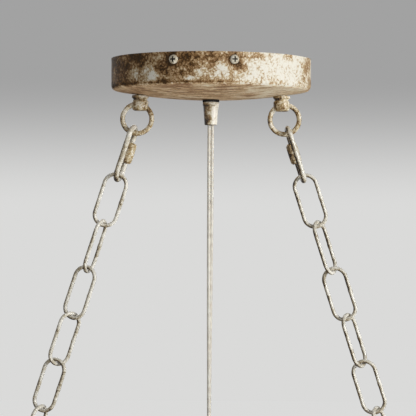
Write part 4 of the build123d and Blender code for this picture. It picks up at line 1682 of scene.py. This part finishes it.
@dataclass
class Lamps:
    """Six candle lamps on square arms round the hub."""

    shop: Workshop
    end_reach: float = 128.0 * MM
    side_x: float = 62.0 * MM
    side_y: float = 58.0 * MM
    arm_width: float = 8.0 * MM
    overhang: float = 7.0 * MM
    hub_radius: float = 18.05 * MM
    glass_height: float = 70.0
    glass_wall: float = 0.55
    filament: float = 0.65 * MM
    lead: float = 0.22 * MM

    def places(self) -> list[Vector]:
        """The six lamps' places round the stem.

        Returns:
            The places, at height zero.
        """
        places = [Vector((side.value * self.end_reach, 0, 0)) for side in Side]
        return places + [Vector((side.value * self.side_x, depth.value * self.side_y, 0))
                         for side in Side for depth in Side]

    def build_arms(self) -> None:
        """Cut the square arms, close their ends and ease their edges."""
        low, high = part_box("lamp_arms")
        half = self.arm_width / 2
        meshes = []
        for place in self.places():
            reach = place.length + self.overhang
            arm = eased(block((self.hub_radius, -half, low[2]), (reach, half, high[2])), 0.9 * MM, 3)
            meshes.append(placed(arm, Matrix.Rotation(math.atan2(place.y, place.x), 4, "Z")))
        settle("square_arms", joined(meshes), self.shop.paint.cage, "fixture", "cage_paint", "lamp_arms",
               angle=50)

    def fit(self, name: str, mesh: Mesh, slot: str, node: str, angle: float, merge: bool = True) -> None:
        """Set a shape at each lamp and let the copies stand for a node.

        Args:
            name: The piece's name.
            mesh: The shape, with its finishes.
            slot: The record's material slot.
            node: The CAD node that the copies stand for.
            angle: The angle in degrees above which an edge stays sharp.
            merge: Whether doubles are merged and faces turned outwards.
        """
        made = self.shop.copies(name, mesh, [Spot(place) for place in self.places()], merge)
        settle(name, made, None, "fixture", slot, node, angle=angle)

    def build_candles(self) -> None:
        """Spin the drip cups with a rolled lip, roll the ivory tubes and mould the sockets on their posts."""
        paint = self.shop.paint
        cup = profile("drip_cups", ((4.05, 0), (12.6, 0), (13.7, 0.5), (14.6, 1.8), (16.0, 4.6)),
                      ((18.0, -1.1), (18.8, -0.8), (19.0, -0.4), (18.7, 0), (17.9, 0), (16.9, -0.8)),
                      ((14.8, 4.6), (13.3, 2.2), (12.5, 1.5), (4.05, 1.5)))
        self.fit("spun_cups", painted(turned(cup, 48, True), paint.cage), "cage_paint", "drip_cups", 60)
        low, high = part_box("candle_sleeves")
        sleeve = profile("candle_sleeves", ((11.05, 0), (11.9, 0), (12.0, 0.3)),
                         ((12.0, -0.6), (11.8, -0.1), (11.4, 0), (11.05, -0.3)))
        sleeve[3:3] = [((12.0 - 0.08 * (number % 2)) * MM, level)
                       for number, level in enumerate(span(low[2], high[2], 16)) if 0 < number < 16]
        self.fit("candle_tubes", painted(turned(sleeve, 48, True), paint.candle), "candle_sleeve",
                 "candle_sleeves", 60)
        socket = profile("lamp_sockets", ((0, 0), (4.0, 0)), (
            (4.0, -30), (9.8, -30), (10.5, -29.2), (10.5, -4), (9.9, -3.6), (9.9, -2.6), (10.5, -2.2),
            (10.5, -0.5), (10.1, 0), (7.2, 0), (6.7, -0.5), (6.7, -24), (0, -24)))
        self.fit("moulded_sockets", painted(turned(socket, 40), paint.phenolic), "socket_phenolic",
                 "lamp_sockets", 40)

    def bulb_outline(self, inset: float) -> list[tuple[float, float]]:
        """The glass's outline, drawn in by an inset.

        Args:
            inset: How far it lies inside the outer face, in millimetres.

        Returns:
            Radius and height from the top of the lamp, in millimetres.
        """
        knots = [(6.2, 0.0), (6.6, 3.0), (9.6, 8.0), (13.6, 13.0), (16.5, 20.0), (16.9, 25.0), (16.3, 31.0),
                 (13.9, 39.0), (10.3, 47.0), (6.6, 54.5), (3.6, 61.5), (1.9, 66.0), (1.1, 68.5)]
        outline = [tuple(catmull(*(knot[axis] for knot in four), share) for axis in (0, 1))
                   for four in zip([knots[0]] + knots, knots, knots[1:], knots[2:] + [knots[-1]])
                   for share in (0.0, 0.25, 0.5, 0.75)] + [knots[-1]]
        return [(max(radius - inset, 0.3), height - self.glass_height) for radius, height in outline]

    def bulb(self) -> Mesh:
        """A candle bulb over its brass base, with four filament strips on a glass stem.

        Returns:
            Its mesh, with its finishes.
        """
        node, paint, seat = "candle_bulbs", self.shop.paint, -self.glass_height
        inner = [point for point in self.bulb_outline(self.glass_wall)[:-2] if point[1] > seat + 4.0]
        glass = turned(profile(node, (), [(0, seat + 0.01), *self.bulb_outline(0.0), (0.5, -0.2), (0, 0)]))
        hollow = turned(profile(node, (), [(0, seat + 4.0), *inner, (0, inner[-1][1] + 0.6)]))
        hollow.flip_normals()
        thread = [(radius, 3.4 + 2.6 * number + rise) for number in range(5)
                  for radius, rise in ((6.35, 0.6), (6.35, 1.2), (5.75, 1.9))]
        base = profile(node, [(0, 0), (2.4, 0), (3.0, 1.2), (5.6, 2.4), *thread],
                       ((6.3, seat - 1.6), (6.45, seat - 0.1), (0, seat - 0.05)))
        stem = profile(node, (), [(radius, seat + height) for radius, height in (
            (0, 4.2), (3.0, 4.2), (2.2, 9), (1.6, 16), (1.4, 44), (0, 45))])
        parts = [painted(joined([glass, hollow]), paint.glass), painted(turned(base, 40), paint.brass),
                 painted(turned(stem, 16), paint.glass)]
        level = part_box(node)[1][2] + seat * MM
        for number in range(4):
            turn = math.pi / 4 + math.pi / 2 * number
            out = Vector((math.cos(turn), math.sin(turn), 0)) * MM
            foot, head = out * 4.6 + UP * (level + 15 * MM), out * 2.6 + UP * (level + 43 * MM)
            lead = [foot - UP * 6 * MM + (UP * foot.z - foot) * 0.5, foot + (head - foot) * 0.02]
            tip = [head, UP * (level + 44.4 * MM)]
            parts += [painted(tube([foot, foot.lerp(head, 0.5), head], self.filament, 8), paint.phosphor),
                      *(painted(tube(path, self.lead, 6), paint.zinc) for path in (lead, tip))]
        return joined(parts)

    def build(self) -> None:
        """Build the lamps."""
        self.build_arms()
        self.build_candles()
        self.fit("filament_bulbs", self.bulb(), "bulb_glass", "candle_bulbs", 40, merge=False)


def catmull(before: float, start: float, end: float, after: float, share: float) -> float:
    """A smooth value between start and end, a share of the way."""
    return 0.5 * (2 * start + (end - before) * share + (2 * before - 5 * start + 4 * end - after) * share**2
                  + (3 * start - before - 3 * end + after) * share**3)


# ---------------------------------------------------------------- studio


@dataclass
class Studio:
    """The camera at the photograph's viewing angle, soft lights and a plain pale floor."""

    eye: tuple[float, float, float] = (-0.0018, -1.44, -0.1205)
    focal_pixels: float = 1795.0
    sensor: float = 36.0
    roll: float = 0.0062
    pitch: float = 0.0011
    lights: tuple[tuple[str, tuple[float, float, float], float, float], ...] = (
        ("key", (1.72, -1.25, 0.22), 0.9, 33.0), ("fill", (-1.2, -1.4, 0.1), 1.4, 3.6),
        ("below", (0.5, -0.7, -1.5), 1.2, 11.0), ("rim", (-0.6, 1.5, 0.6), 1.2, 6.0),
    )
    aim: tuple[float, float, float] = (0.0, 0.0, -0.15)
    floor_z: float = -2.4
    floor_size: float = 40.0
    backdrop: str = "#dadad9"
    backdrop_high: str = "#a2a2a2"
    backdrop_reach: float = 0.075
    soft: float = 0.24
    floor_colour: str = "#dededc"
    floor_glow: float = 0.7

    def build_camera(self) -> None:
        """Set the camera level, with the photograph's field of view and slight roll."""
        data = bpy.data.cameras.new("camera")
        data.sensor_width = self.sensor
        data.lens = self.sensor * self.focal_pixels / IMAGE_SIDE
        data.clip_start, data.clip_end = 0.05, 100.0
        camera = put("camera", data)
        right = Vector((math.cos(self.roll), 0, math.sin(self.roll)))
        up = Vector((-math.sin(self.roll), 0, math.cos(self.roll)))
        turn = Matrix((right, up, Vector((0, -1, 0)))).transposed().to_4x4()
        camera.matrix_world = Matrix.Translation(self.eye) @ Matrix.Rotation(self.pitch, 4, "X") @ turn
        bpy.context.scene.camera = camera

    def build_lights(self) -> None:
        """Hang soft area lights: a key from the right, a fill from the left, one below and one behind."""
        for name, place, size, power in self.lights:
            data = bpy.data.lights.new(name, "AREA")
            data.size = size
            data.energy = power
            turn = (Vector(self.aim) - Vector(place)).to_track_quat("-Z", "Y").to_matrix()
            put(name, data).matrix_world = Matrix.Translation(place) @ turn.to_4x4()

    def build_world(self) -> None:
        """Light from all round, seen as a plain pale backdrop that darkens towards the top."""
        world = bpy.data.worlds.new("studio")
        bpy.context.scene.world = world
        world.use_nodes = True
        tree = world.node_tree
        tree.nodes.clear()
        paths = add(tree, "ShaderNodeLightPath").outputs
        seen = add(tree, "ShaderNodeMath", {0: paths["Is Camera Ray"], 1: paths["Is Glossy Ray"]},
                   operation="MAXIMUM")
        seen = add(tree, "ShaderNodeMath", {0: seen, 1: paths["Is Transmission Ray"]}, operation="MAXIMUM")
        soft = add(tree, "ShaderNodeBackground", {"Color": linear(SOFT_LIGHT), "Strength": self.soft})
        height = add(tree, "ShaderNodeSeparateXYZ", {0: add(tree, "ShaderNodeTexCoord").outputs["Generated"]})
        shade = add(tree, "ShaderNodeMapRange", {0: height.outputs["Z"], "From Max": self.backdrop_reach},
                    interpolation_type="SMOOTHSTEP")
        sky = add(tree, "ShaderNodeMix", {"Factor": shade, "A": linear(self.backdrop),
                                         "B": linear(self.backdrop_high)}, data_type="RGBA")
        plain = add(tree, "ShaderNodeBackground", {"Color": sky.outputs[2], "Strength": 1.0})
        both = add(tree, "ShaderNodeMixShader", {0: seen, 1: soft, 2: plain})
        add(tree, "ShaderNodeOutputWorld", {0: both})

    def build_floor(self) -> None:
        """Lay the plain floor far below, in the backdrop's colour."""
        half = self.floor_size / 2
        corners = [(x * half, y * half, self.floor_z) for x, y in ((-1, -1), (1, -1), (1, 1), (-1, 1))]
        mesh = bpy.data.meshes.new("floor")
        mesh.from_pydata(corners, [], [(0, 1, 2, 3)])
        material, tree, shader = new_material("plain_floor")
        connect(shader, {"Roughness": 0.9, "Base Color": linear(self.floor_colour)})
        # The glow makes up for what the lit share lacks, so floor and backdrop meet without a seam
        lit = linear(self.floor_colour)[0] * self.soft * linear(SOFT_LIGHT)[0]
        wanted = linear(self.backdrop)[0]
        strength = (wanted - (1 - self.floor_glow) * lit) / (self.floor_glow * wanted)
        glow = add(tree, "ShaderNodeEmission", {"Color": linear(self.backdrop), "Strength": strength})
        seen = add(tree, "ShaderNodeLightPath").outputs["Is Camera Ray"]
        share = add(tree, "ShaderNodeMath", {0: seen, 1: self.floor_glow}, operation="MULTIPLY")
        both = add(tree, "ShaderNodeMixShader", {0: share, 1: shader, 2: glow})
        connect(tree.nodes["Material Output"], {"Surface": both})
        floor = put("floor", painted(mesh, material))

    def build(self) -> None:
        """Set up the whole studio."""
        bpy.context.scene.view_settings.view_transform = "Standard"
        self.build_camera()
        self.build_lights()
        self.build_world()
        self.build_floor()


def main() -> None:
    """Build the chandelier in order."""
    logging.basicConfig(level=logging.INFO, format="%(message)s")
    shop = Workshop()
    Studio().build()
    TwinCord(shop).build()
    Canopy(shop).build()
    for side in Side:
        Chain(shop, side).build()
    Cage(shop).build()
    Lamps(shop).build()
    LOG.info("size written")


if __name__ == "__main__":
    main()
